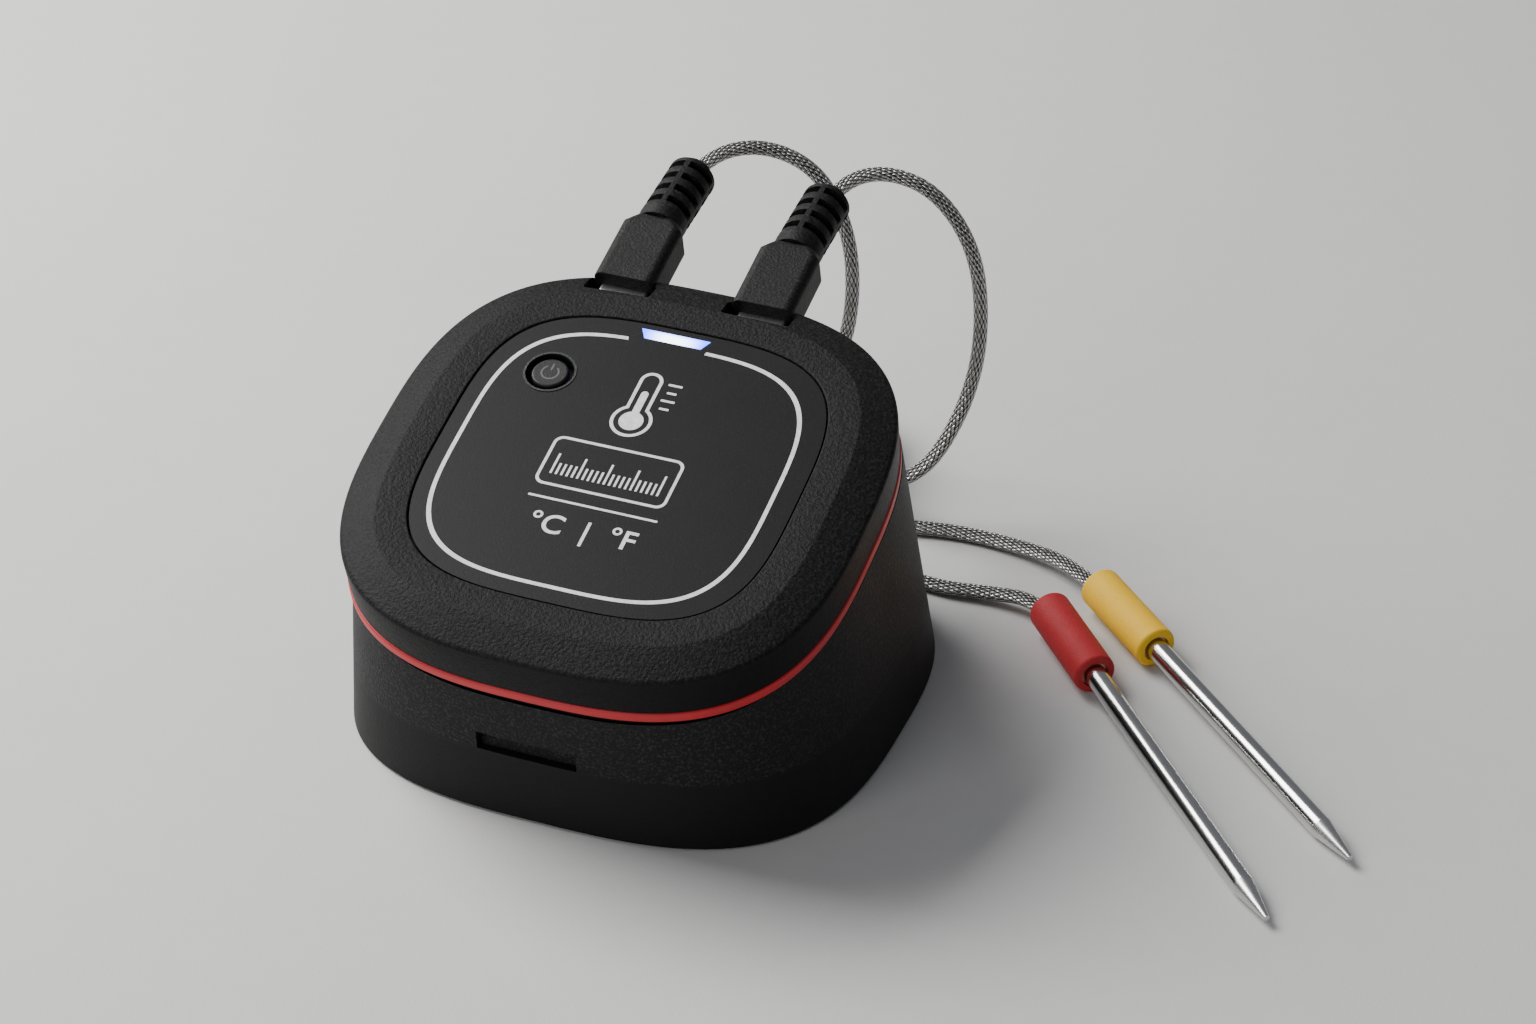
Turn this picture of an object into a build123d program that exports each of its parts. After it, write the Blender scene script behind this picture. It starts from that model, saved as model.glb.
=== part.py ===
"""Two-probe meat thermometer: a tilted head in a wedge cradle, with two probes on braided cords.

Units are millimetres. The origin is the middle of the cradle's footprint on the table, +Z is up,
+Y points to the back, where the probes plug in, and +X is to the object's right.
"""

import math
import os

from build123d import *

os.makedirs("parts", exist_ok=True)

# ---------------------------------------------------------------- head: main sizes
TILT = 16.18  # slope of the face, degrees
FACE_Y = -9.62
FACE_Z = 38.7
HEAD_HALF = 33.0  # half the width at the widest edge
HEAD_POWER = 2.87  # roundness of the square outline
BEZEL_HALF = 28.2
BEZEL_POWER = 3.15
CREASE_DEPTH = 1.54
SIDE_HALF = 32.85
RING_TOP = 7.4
RING_BOTTOM = 8.9
RING_INNER = 31.1
SHELL_WALL = 1.8
CAVITY_HALF = 31.2
CAVITY_TOP = 2.1
CEILING_HALF = 28.6
REAR_POWER = 2.85
REAR_STEPS = [(8.9, 32.4), (16.65, 30.8), (21.5, 29.5), (23.9, 28.3), (25.0, 26.6)]
HEAD_DEPTH = 25.0
REAR_FLOOR = 23.2
LIP_OUTER = 30.9
LIP_INNER = 29.7
LIP_TOP = 6.2

# ---------------------------------------------------------------- face panel, light and button
PANEL_HALF = 23.85
PANEL_POWER = 3.45
PANEL_GAP = 0.2
PANEL_TOP = 0.15
PANEL_THICK = 0.7
PANEL_SEAT = 0.9
LIGHT_U = -1.1
LIGHT_V = 22.2
LIGHT_TOP_WIDTH = 9.5
LIGHT_LOW_WIDTH = 7.7
LIGHT_HEIGHT = 1.5
BUTTON_U = -14.5
BUTTON_V = 12.4
BUTTON_RADIUS = 2.45
WELL_RADIUS = 3.15
BUTTON_TOP = 0.2
FLANGE_TOP = 2.2
FLANGE_BOTTOM = 3.0
FLANGE_RADIUS = 3.6

# ---------------------------------------------------------------- board and what stands on it
BOARD_TOP = 5.4
BOARD_THICK = 1.6
BOARD_HALF = 28.2
BOSS_PITCH = 19.5
BOSS_RADIUS = 2.4

# ---------------------------------------------------------------- plugs and sockets
PLUG_MID = -2.1  # the pair of sockets sits a little left of the centre line
PLUG_SPREAD = 9.7
PLUG_DEPTH = 2.95  # plug axis below the face
TIP_WIDTH = 6.8
TIP_THICK = 1.5
TIP_START = 24.2
MOULD_START = 31.0
MOULD_SHOULDER = 41.5
MOULD_END = 43.1
MOULD_WIDTH = 8.4
MOULD_THICK = 5.8
MOULD_CORNER = 1.3
BOOT_RADIUS = 3.3
BOOT_BEND = 44.4  # the boot droops from here
BOOT_DROOP = 7.5  # degrees
BOOT_REACH = 12.1  # drooping length
SLOT_FIRST = 0.95
SLOT_PITCH = 2.65
SLOT_WIDTH = 1.3
NOTCH_WIDTH = 9.4
NOTCH_FLOOR = 28.3
NOTCH_WALL = 1.4
NOTCH_BOTTOM = 6.5
SOCKET_START = 23.4
SOCKET_END = 26.8
SOCKET_WIDTH = 8.6

# ---------------------------------------------------------------- battery compartment
CELL_RADIUS = 7.0
CELL_LENGTH = 50.0
CELL_V = 7.25
CELL_DEPTH = 16.0
TRAY_TOP = 7.9
TRAY_BOTTOM = 12.6
DOOR_LENGTH = 50.6
DOOR_WIDTH = 29.6
DOOR_THICK = 1.5

# ---------------------------------------------------------------- cradle base
FOOT_HALF = 35.55
FOOT_POWER = 3.0
CRADLE_TOP_HALF = 32.9
CRADLE_TOP_Y = -6.4
CRADLE_TOP_Z = 30.0
PAD_THICK = 0.8
SKIRT_Z = 0.35  # the shell ends just above the table
FLOOR_TOP = 2.4
CRADLE_WALL = 2.2
POCKET_GAP = 0.3
SEAT_GAP = 0.12
POCKET_FLOOR = 1.8
LIP_Z = 10.3
SCOOP_LEFT = -8.0
SCOOP_RIGHT = 5.5
MAGNET_RADIUS = 5.0
MAGNET_THICK = 2.5
MAGNET_V = 21.0

# ---------------------------------------------------------------- probes and cords
CORD_RADIUS = 1.0
ROD_RADIUS = 1.5
ROD_BORE = 0.8
TAPER_LENGTH = 6.5
TAPER_TIP = 0.4
COLLAR_RADIUS = 2.9
COLLAR_LENGTH = 15.5
SLEEVE_RADIUS = 1.85
COIL_INNER = 6.0
COIL_OUTER = 14.0
COIL_HEIGHT = 8.0

tilt = math.radians(TILT)
face_normal = Vector(0, -math.sin(tilt), math.cos(tilt))
up_slope = Vector(0, math.cos(tilt), math.sin(tilt))
face_centre = Vector(0, FACE_Y, FACE_Z)


def head_plane(depth):
    """Plane parallel to the face, at a depth below it."""
    return Plane(origin=face_centre - face_normal * depth, x_dir=(1, 0, 0), z_dir=face_normal)


def head_point(u, v, depth):
    """Point in the head: u to the right, v up the slope, depth below the face."""
    return face_centre + Vector(1, 0, 0) * u + up_slope * v - face_normal * depth


def slope_plane(u, v, depth):
    """Plane across the plug axis: its x is the head's right, its normal points up the slope."""
    return Plane(origin=head_point(u, v, depth), x_dir=(1, 0, 0), z_dir=up_slope)


def round_square(half, power, count=40):
    """Points on a square outline with full round corners."""
    points = []
    for k in range(count):
        angle = 2 * math.pi * k / count
        reach = abs(math.cos(angle)) ** power + abs(math.sin(angle)) ** power
        radius = half / reach ** (1 / power)
        points.append((radius * math.cos(angle), radius * math.sin(angle)))
    return points


def outline(plane, half, power):
    """Filled round square on a plane."""
    with BuildSketch(plane) as sketch:
        with BuildLine():
            Spline(*round_square(half, power), periodic=True)
        make_face()
    return sketch.sketch


def save(part, name):
    part.label = name
    export_step(part, f"parts/{name}.step")


def rear_half(depth):
    """Half width of the rear shell at a depth below the face."""
    for (d0, h0), (d1, h1) in zip(REAR_STEPS, REAR_STEPS[1:]):
        if depth <= d1:
            return h0 + (h1 - h0) * (depth - d0) / (d1 - d0)
    return REAR_STEPS[-1][1]


def light_corners(margin):
    """Corners of the light's four-sided window, wider at the top, with a margin all round."""
    top = LIGHT_TOP_WIDTH / 2 + margin
    low = LIGHT_LOW_WIDTH / 2 + margin
    rise = LIGHT_HEIGHT / 2 + margin
    return [
        (LIGHT_U - top, LIGHT_V + rise),
        (LIGHT_U + top, LIGHT_V + rise),
        (LIGHT_U + low, LIGHT_V - rise),
        (LIGHT_U - low, LIGHT_V - rise),
    ]


droop = math.radians(BOOT_DROOP)
boot_aim = up_slope * math.cos(droop) - face_normal * math.sin(droop)
plug_us = {"red": PLUG_MID - PLUG_SPREAD, "yellow": PLUG_MID + PLUG_SPREAD}
boss_spots = [(BOSS_PITCH * i, BOSS_PITCH * j) for i in (-1, 1) for j in (-1, 1)]

# ================================================================ front shell
with BuildPart() as front_shell:
    add(outline(head_plane(CREASE_DEPTH), HEAD_HALF, HEAD_POWER))
    add(outline(head_plane(0), BEZEL_HALF, BEZEL_POWER))
    loft(ruled=True)
    add(outline(head_plane(CREASE_DEPTH), HEAD_HALF, HEAD_POWER))
    add(outline(head_plane(RING_TOP), SIDE_HALF, HEAD_POWER))
    loft(ruled=True)
    # hollow inside, stepped under the chamfer
    add(outline(head_plane(RING_TOP), CAVITY_HALF, HEAD_POWER))
    extrude(amount=RING_TOP - 3.6, dir=face_normal, mode=Mode.SUBTRACT)
    add(outline(head_plane(RING_TOP), CEILING_HALF, BEZEL_POWER))
    extrude(amount=RING_TOP - CAVITY_TOP, dir=face_normal, mode=Mode.SUBTRACT)
    # seat for the face panel
    add(outline(head_plane(PANEL_SEAT), PANEL_HALF + PANEL_GAP, PANEL_POWER))
    extrude(amount=2, dir=face_normal, mode=Mode.SUBTRACT)
    # button hole and light slot
    with BuildSketch(head_plane(5)):
        with Locations((BUTTON_U, BUTTON_V)):
            Circle(WELL_RADIUS)
        with Locations((LIGHT_U, LIGHT_V)):
            Rectangle(LIGHT_TOP_WIDTH + 0.2, LIGHT_HEIGHT + 0.2)
    extrude(amount=6, mode=Mode.SUBTRACT)
    # bosses for the case screws
    with BuildSketch(head_plane(BOARD_TOP)):
        with Locations(*boss_spots):
            Circle(BOSS_RADIUS)
    extrude(amount=BOARD_TOP - CAVITY_TOP + 0.4)
    # block behind each plug notch
    with BuildSketch(head_plane(RING_TOP)):
        with Locations(*[(u, (NOTCH_FLOOR - NOTCH_WALL + 31.4) / 2) for u in plug_us.values()]):
            Rectangle(NOTCH_WIDTH + 1.8, 31.4 - NOTCH_FLOOR + NOTCH_WALL)
    extrude(amount=RING_TOP - 1.2)
    with BuildSketch(head_plane(NOTCH_BOTTOM)):
        with Locations(*[(u, (NOTCH_FLOOR + 36) / 2) for u in plug_us.values()]):
            Rectangle(NOTCH_WIDTH, 36 - NOTCH_FLOOR)
    extrude(amount=NOTCH_BOTTOM + 2, mode=Mode.SUBTRACT)
    for plug_u in plug_us.values():
        with BuildSketch(slope_plane(plug_u, NOTCH_FLOOR - 1.8, PLUG_DEPTH)):
            RectangleRounded(TIP_WIDTH + 0.7, TIP_THICK + 0.7, 0.5)
        extrude(amount=4, mode=Mode.SUBTRACT)
    with BuildSketch(head_plane(BOARD_TOP)):
        with Locations(*boss_spots):
            Circle(1.05)
    extrude(amount=BOARD_TOP - 2.9, mode=Mode.SUBTRACT)
save(front_shell.part, "front_shell")

# ================================================================ face panel
with BuildPart() as display_panel:
    add(outline(head_plane(PANEL_TOP + PANEL_THICK), PANEL_HALF, PANEL_POWER))
    extrude(amount=PANEL_THICK, dir=face_normal)
    with BuildSketch(head_plane(3)):
        with Locations((BUTTON_U, BUTTON_V)):
            Circle(WELL_RADIUS)
    extrude(amount=5, mode=Mode.SUBTRACT)
    with BuildSketch(head_plane(3)):
        with BuildLine():
            Polyline(*light_corners(0.1), close=True)
        make_face()
    extrude(amount=5, mode=Mode.SUBTRACT)
save(display_panel.part, "display_panel")

# ================================================================ light pipe
light_bottom = 4.5
with BuildPart() as led_window:
    with BuildSketch(head_plane(light_bottom)):
        with BuildLine():
            Polyline(*light_corners(0), close=True)
        make_face()
    extrude(amount=light_bottom - PANEL_TOP)
    # flange that stops it from below
    with BuildSketch(head_plane(3.0)):
        with Locations((LIGHT_U, LIGHT_V)):
            Rectangle(LIGHT_TOP_WIDTH + 0.9, LIGHT_HEIGHT + 0.9)
    extrude(amount=3.0 - CAVITY_TOP)
save(led_window.part, "led_window")

# ================================================================ accent ring
with BuildPart() as accent_ring:
    add(outline(head_plane(RING_BOTTOM), HEAD_HALF, HEAD_POWER))
    extrude(amount=RING_BOTTOM - RING_TOP, dir=face_normal)
    add(outline(head_plane(RING_BOTTOM), RING_INNER, HEAD_POWER))
    extrude(amount=RING_BOTTOM - RING_TOP, dir=face_normal, mode=Mode.SUBTRACT)
save(accent_ring.part, "accent_ring")

# ================================================================ rear shell
with BuildPart() as rear_shell:
    for (depth_a, half_a), (depth_b, half_b) in zip(REAR_STEPS, REAR_STEPS[1:]):
        add(outline(head_plane(depth_a), half_a, REAR_POWER))
        add(outline(head_plane(depth_b), half_b, REAR_POWER))
        loft(ruled=True)
    add(outline(head_plane(RING_BOTTOM), LIP_OUTER, HEAD_POWER))
    extrude(amount=RING_BOTTOM - LIP_TOP, dir=face_normal)
    # hollow
    add(outline(head_plane(RING_BOTTOM), LIP_INNER, HEAD_POWER))
    extrude(amount=5, dir=face_normal, mode=Mode.SUBTRACT)
    add(outline(head_plane(RING_BOTTOM), LIP_INNER, HEAD_POWER))
    add(outline(head_plane(REAR_FLOOR), rear_half(REAR_FLOOR) - SHELL_WALL, REAR_POWER))
    loft(ruled=True, mode=Mode.SUBTRACT)
    # gap in the lip for the plug notches
    with BuildSketch(head_plane(RING_BOTTOM)):
        with Locations((PLUG_MID, 31)):
            Rectangle(36, 7)
    extrude(amount=5, mode=Mode.SUBTRACT)
    # bosses round the case screws
    with BuildSketch(head_plane(24.0)):
        with Locations(*boss_spots):
            Circle(BOSS_RADIUS)
    extrude(amount=24.0 - BOARD_TOP - BOARD_THICK - 0.1)
    with BuildSketch(head_plane(HEAD_DEPTH)):
        with Locations(*boss_spots):
            Circle(1.2)
    extrude(amount=20, mode=Mode.SUBTRACT)
    with BuildSketch(head_plane(HEAD_DEPTH)):
        with Locations(*boss_spots):
            Circle(2.1)
    extrude(amount=1.8, mode=Mode.SUBTRACT)
    # recess and opening for the battery door
    with BuildSketch(head_plane(HEAD_DEPTH)):
        RectangleRounded(DOOR_LENGTH + 0.4, DOOR_WIDTH + 0.4, 7.2)
    extrude(amount=DOOR_THICK, mode=Mode.SUBTRACT)
    with BuildSketch(head_plane(HEAD_DEPTH)):
        RectangleRounded(DOOR_LENGTH - 1.6, DOOR_WIDTH - 1.6, 6.2)
    extrude(amount=4, mode=Mode.SUBTRACT)
save(rear_shell.part, "rear_shell")

# ================================================================ battery door
with BuildPart() as battery_door:
    with BuildSketch(head_plane(HEAD_DEPTH)):
        RectangleRounded(DOOR_LENGTH, DOOR_WIDTH, 7.0)
    extrude(amount=DOOR_THICK)
    # thumb recess with grip ribs
    with BuildSketch(head_plane(HEAD_DEPTH)):
        with Locations((0, 9.5)):
            SlotOverall(12, 5)
    extrude(amount=0.7, mode=Mode.SUBTRACT)
    with BuildSketch(head_plane(HEAD_DEPTH - 0.7)):
        with Locations((0, 8.3), (0, 9.5), (0, 10.7)):
            Rectangle(7, 0.5)
    extrude(amount=-0.4)
save(battery_door.part, "battery_door")

# ================================================================ cells, springs and contacts
with BuildPart() as battery_cells:
    for side in (-1, 1):
        cell_axis = Plane(
            origin=head_point(-CELL_LENGTH / 2, side * CELL_V, CELL_DEPTH),
            x_dir=up_slope,
            z_dir=(1, 0, 0),
        )
        with BuildSketch(cell_axis):
            Circle(CELL_RADIUS)
        extrude(amount=CELL_LENGTH - 1.2)
        with BuildSketch(cell_axis.offset(CELL_LENGTH - 1.2)):
            Circle(2.6)
        extrude(amount=1.2)
save(battery_cells.part, "battery_cells")

spring_turns = 2.5
spring_pitch = 0.42
with BuildPart() as battery_springs:
    for side in (-1, 1):
        spring_foot = head_point(-CELL_LENGTH / 2 - 1.3, side * CELL_V, CELL_DEPTH)
        with BuildLine():
            coil_line = Helix(
                pitch=spring_pitch,
                height=spring_pitch * spring_turns,
                radius=2.6,
                center=tuple(spring_foot),
                direction=(1, 0, 0),
            )
        with BuildSketch(Plane(origin=coil_line @ 0, z_dir=coil_line % 0)):
            Circle(0.17)
        sweep(path=coil_line, is_frenet=True)
save(battery_springs.part, "battery_springs")

with BuildPart() as battery_contacts:
    for contact_u in (-CELL_LENGTH / 2 - 1.55, CELL_LENGTH / 2 + 0.02):
        contact_middle = head_point(contact_u, 0, CELL_DEPTH)
        with BuildSketch(Plane(origin=contact_middle, x_dir=up_slope, z_dir=(1, 0, 0))):
            with Locations((-CELL_V, 0), (CELL_V, 0)):
                RectangleRounded(9, 7, 1)
        extrude(amount=0.08)
save(battery_contacts.part, "battery_contacts")

with BuildPart() as battery_tray:
    with BuildSketch(head_plane(TRAY_BOTTOM)):
        tray_outer = Rectangle(54.4, 30.6)
        chamfer(tray_outer.vertices(), 2.6)
    extrude(amount=TRAY_BOTTOM - TRAY_TOP)
    with BuildSketch(head_plane(TRAY_BOTTOM)):
        tray_inner = Rectangle(53.2, 29.4)
        chamfer(tray_inner.vertices(), 2.2)
    extrude(amount=TRAY_BOTTOM - TRAY_TOP - 0.8, mode=Mode.SUBTRACT)
save(battery_tray.part, "battery_tray")

# ================================================================ circuit board and chips
with BuildPart() as circuit_board:
    add(outline(head_plane(BOARD_TOP + BOARD_THICK), BOARD_HALF, HEAD_POWER))
    extrude(amount=BOARD_THICK, dir=face_normal)
    with BuildSketch(head_plane(BOARD_TOP + BOARD_THICK)):
        with Locations(*boss_spots):
            Circle(1.3)
    extrude(amount=BOARD_THICK, mode=Mode.SUBTRACT)
    # clearance round the plug recesses
    with BuildSketch(head_plane(BOARD_TOP + BOARD_THICK)):
        with Locations(*[(u, 33.0) for u in plug_us.values()]):
            Rectangle(NOTCH_WIDTH + 2.4, 12.8)
    extrude(amount=BOARD_THICK, dir=face_normal, mode=Mode.SUBTRACT)
save(circuit_board.part, "circuit_board")

with BuildPart() as switch_body:
    with BuildSketch(head_plane(BOARD_TOP)):
        with Locations((BUTTON_U, BUTTON_V)):
            Rectangle(5.2, 5.2)
    extrude(amount=1.5)
    with BuildSketch(head_plane(BOARD_TOP - 0.5)):
        with Locations((BUTTON_U, BUTTON_V)):
            Circle(1.3)
    extrude(amount=1.5, mode=Mode.SUBTRACT)
save(switch_body.part, "switch_body")

with BuildPart() as radio_module:
    with BuildSketch(head_plane(BOARD_TOP)):
        with Locations((2, -10)):
            RectangleRounded(13, 10, 0.6)
    extrude(amount=1.8)
save(radio_module.part, "radio_module")

with BuildPart() as processor_chip:
    with BuildSketch(head_plane(BOARD_TOP)):
        with Locations((4, 6)):
            Rectangle(6, 6)
    extrude(amount=0.9)
save(processor_chip.part, "processor_chip")

with BuildPart() as led_chips:
    with BuildSketch(head_plane(BOARD_TOP)):
        with Locations((LIGHT_U - 2, LIGHT_V), (LIGHT_U + 2, LIGHT_V)):
            Rectangle(1.6, 0.9)
    extrude(amount=0.7)
save(led_chips.part, "led_chips")

for colour, plug_u in plug_us.items():
    with BuildPart() as probe_socket:
        with BuildSketch(head_plane(BOARD_TOP)):
            with Locations((plug_u, (SOCKET_START + SOCKET_END) / 2)):
                Rectangle(SOCKET_WIDTH, SOCKET_END - SOCKET_START)
        extrude(amount=BOARD_TOP - 2.15)
        with BuildSketch(slope_plane(plug_u, SOCKET_START + 0.5, PLUG_DEPTH)):
            RectangleRounded(TIP_WIDTH + 0.7, TIP_THICK + 0.7, 0.5)
        extrude(amount=6, mode=Mode.SUBTRACT)
    save(probe_socket.part, f"{colour}_socket")

with BuildPart() as keeper_discs:
    with BuildSketch(head_plane(REAR_FLOOR)):
        with Locations((0, -MAGNET_V), (0, MAGNET_V)):
            Circle(4.4)
    extrude(amount=1.0)
save(keeper_discs.part, "keeper_discs")

with BuildPart() as case_screws:
    with BuildSketch(head_plane(24.7)):
        with Locations(*boss_spots):
            Circle(1.9)
    extrude(amount=1.5)
    with BuildSketch(head_plane(23.6)):
        with Locations(*boss_spots):
            Circle(1.0)
    extrude(amount=23.6 - 3.2)
    with BuildSketch(head_plane(24.7)):
        with Locations(*boss_spots):
            Rectangle(2.0, 0.5)
            Rectangle(0.5, 2.0)
    extrude(amount=0.9, mode=Mode.SUBTRACT)
save(case_screws.part, "case_screws")

# ================================================================ button
with BuildPart() as power_button:
    with BuildSketch(head_plane(FLANGE_BOTTOM)):
        with Locations((BUTTON_U, BUTTON_V)):
            Circle(BUTTON_RADIUS)
    extrude(amount=FLANGE_BOTTOM - BUTTON_TOP)
    fillet(power_button.faces().sort_by(Axis(face_centre, face_normal))[-1].edges(), 0.3)
    with BuildSketch(head_plane(FLANGE_BOTTOM)):
        with Locations((BUTTON_U, BUTTON_V)):
            Circle(FLANGE_RADIUS)
    extrude(amount=FLANGE_BOTTOM - FLANGE_TOP)
save(power_button.part, "power_button")

with BuildPart() as switch_plunger:
    with BuildSketch(head_plane(BOARD_TOP - 1.3)):
        with Locations((BUTTON_U, BUTTON_V)):
            Circle(1.0)
    extrude(amount=BOARD_TOP - 1.3 - FLANGE_BOTTOM)
save(switch_plunger.part, "switch_plunger")

# ================================================================ cradle base
cradle_top = Plane(
    origin=(0, CRADLE_TOP_Y, CRADLE_TOP_Z), x_dir=(1, 0, 0), z_dir=face_normal
)
pocket_steps = [(5.0, REAR_STEPS[0][1] + POCKET_GAP + 0.8)]
pocket_steps += [(depth, half + POCKET_GAP) for depth, half in REAR_STEPS[:-1]]
pocket_steps += [(HEAD_DEPTH + SEAT_GAP, REAR_STEPS[-1][1] + POCKET_GAP)]
pocket_depth = HEAD_DEPTH + SEAT_GAP

with BuildPart() as wall:
    add(outline(Plane.XY.offset(SKIRT_Z), FOOT_HALF, FOOT_POWER))
    add(outline(cradle_top, CRADLE_TOP_HALF, REAR_POWER))
    loft(ruled=True)

with BuildPart() as base_shell:
    add(wall.part)
    # the rim: low at the front, climbing along the flanks, then level with the head
    with BuildSketch(Plane.YZ.offset(-50)):
        with BuildLine():
            Polyline(
                (-60, LIP_Z),
                (-32.0, LIP_Z),
                (3.0, 29.2),
                (60, 45.7),
                (60, 80),
                (-60, 80),
                close=True,
            )
        make_face()
        fillet(vertices().group_by(Axis.Y)[0].sort_by(Axis.X)[-1], 14)
    extrude(amount=100, mode=Mode.SUBTRACT)
    # steep band that leans in from the wall's front edge to the head
    with BuildPart(mode=Mode.PRIVATE) as front_band:
        add(outline(head_plane(21.0), 34.93, REAR_POWER))
        add(outline(head_plane(16.5), 31.5, REAR_POWER))
        loft(ruled=True)
        add(wall.part, mode=Mode.INTERSECT)
    add(front_band.part)
    # pocket for the head
    for (depth_a, half_a), (depth_b, half_b) in zip(pocket_steps, pocket_steps[1:]):
        add(outline(head_plane(depth_a), half_a, REAR_POWER))
        add(outline(head_plane(depth_b), half_b, REAR_POWER))
        loft(ruled=True, mode=Mode.SUBTRACT)
    # finger scoop in the front band
    with BuildSketch(Plane.YZ.offset(SCOOP_LEFT)):
        with BuildLine():
            Polyline(
                (-40.0, LIP_Z + 0.3),
                (-40.0, LIP_Z + 3.0),
                (-34.7, LIP_Z + 3.0),
                (-35.5, LIP_Z + 0.3),
                close=True,
            )
        make_face()
    extrude(amount=SCOOP_RIGHT - SCOOP_LEFT, mode=Mode.SUBTRACT)
    # hollow underneath, closed by the floor plate
    with BuildPart(mode=Mode.PRIVATE) as hollow:
        add(outline(Plane.XY.offset(SKIRT_Z), FOOT_HALF - CRADLE_WALL, FOOT_POWER))
        add(outline(cradle_top, CRADLE_TOP_HALF - CRADLE_WALL - 0.6, REAR_POWER))
        loft(ruled=True)
        with BuildSketch(head_plane(pocket_depth + POCKET_FLOOR)):
            Rectangle(150, 150)
        extrude(amount=60, mode=Mode.SUBTRACT)
    add(hollow.part, mode=Mode.SUBTRACT)
    # rings that hold the magnets against the pocket floor
    with BuildSketch(head_plane(pocket_depth + POCKET_FLOOR + 1.6)):
        with Locations((0, -MAGNET_V), (0, MAGNET_V)):
            Circle(MAGNET_RADIUS + 1.3)
            Circle(MAGNET_RADIUS + 0.1, mode=Mode.SUBTRACT)
    extrude(amount=1.9)
    # posts for the floor screws
    with BuildSketch(Plane.XY.offset(FLOOR_TOP)):
        with Locations((-24, 22), (24, 22), (-24, -22), (24, -22)):
            Circle(2.4)
    extrude(until=Until.NEXT)
    with BuildSketch(Plane.XY.offset(PAD_THICK)):
        with Locations((-24, 22), (24, 22), (-24, -22), (24, -22)):
            Circle(1.05)
    extrude(amount=4.4, mode=Mode.SUBTRACT)
save(base_shell.part, "base_shell")

floor_spots = [(-24, 22), (24, 22), (-24, -22), (24, -22)]
with BuildPart() as base_floor:
    add(outline(Plane.XY.offset(PAD_THICK), FOOT_HALF - CRADLE_WALL - 0.75, FOOT_POWER))
    extrude(amount=FLOOR_TOP - PAD_THICK - 0.05)
    with BuildSketch(Plane.XY.offset(PAD_THICK)):
        with Locations(*floor_spots):
            Circle(1.2)
    extrude(amount=4, mode=Mode.SUBTRACT)
    with BuildSketch(Plane.XY.offset(PAD_THICK)):
        with Locations(*floor_spots):
            Circle(2.1)
    extrude(amount=0.8, mode=Mode.SUBTRACT)
save(base_floor.part, "base_floor")

with BuildPart() as foot_pad:
    add(outline(Plane.XY, 31.0, FOOT_POWER))
    extrude(amount=PAD_THICK)
    with BuildSketch():
        with Locations(*floor_spots):
            Circle(2.6)
    extrude(amount=PAD_THICK, mode=Mode.SUBTRACT)
save(foot_pad.part, "foot_pad")

with BuildPart() as base_screws:
    with BuildSketch(Plane.XY.offset(PAD_THICK)):
        with Locations(*floor_spots):
            Circle(1.9)
    extrude(amount=0.75)
    with BuildSketch(Plane.XY.offset(PAD_THICK)):
        with Locations(*floor_spots):
            Circle(1.0)
    extrude(amount=4.2)
    with BuildSketch(Plane.XY.offset(PAD_THICK)):
        with Locations(*floor_spots):
            Rectangle(2.0, 0.5)
            Rectangle(0.5, 2.0)
    extrude(amount=0.5, mode=Mode.SUBTRACT)
save(base_screws.part, "base_screws")

with BuildPart() as cradle_magnets:
    with BuildSketch(head_plane(pocket_depth + POCKET_FLOOR)):
        with Locations((0, -MAGNET_V), (0, MAGNET_V)):
            Circle(MAGNET_RADIUS)
    extrude(amount=-1.5)
save(cradle_magnets.part, "cradle_magnets")

with BuildPart() as mount_magnets:
    with BuildSketch(Plane.XY.offset(FLOOR_TOP)):
        with Locations((-12, 10), (12, 10)):
            Circle(6)
    extrude(amount=MAGNET_THICK)
save(mount_magnets.part, "mount_magnets")

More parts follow.
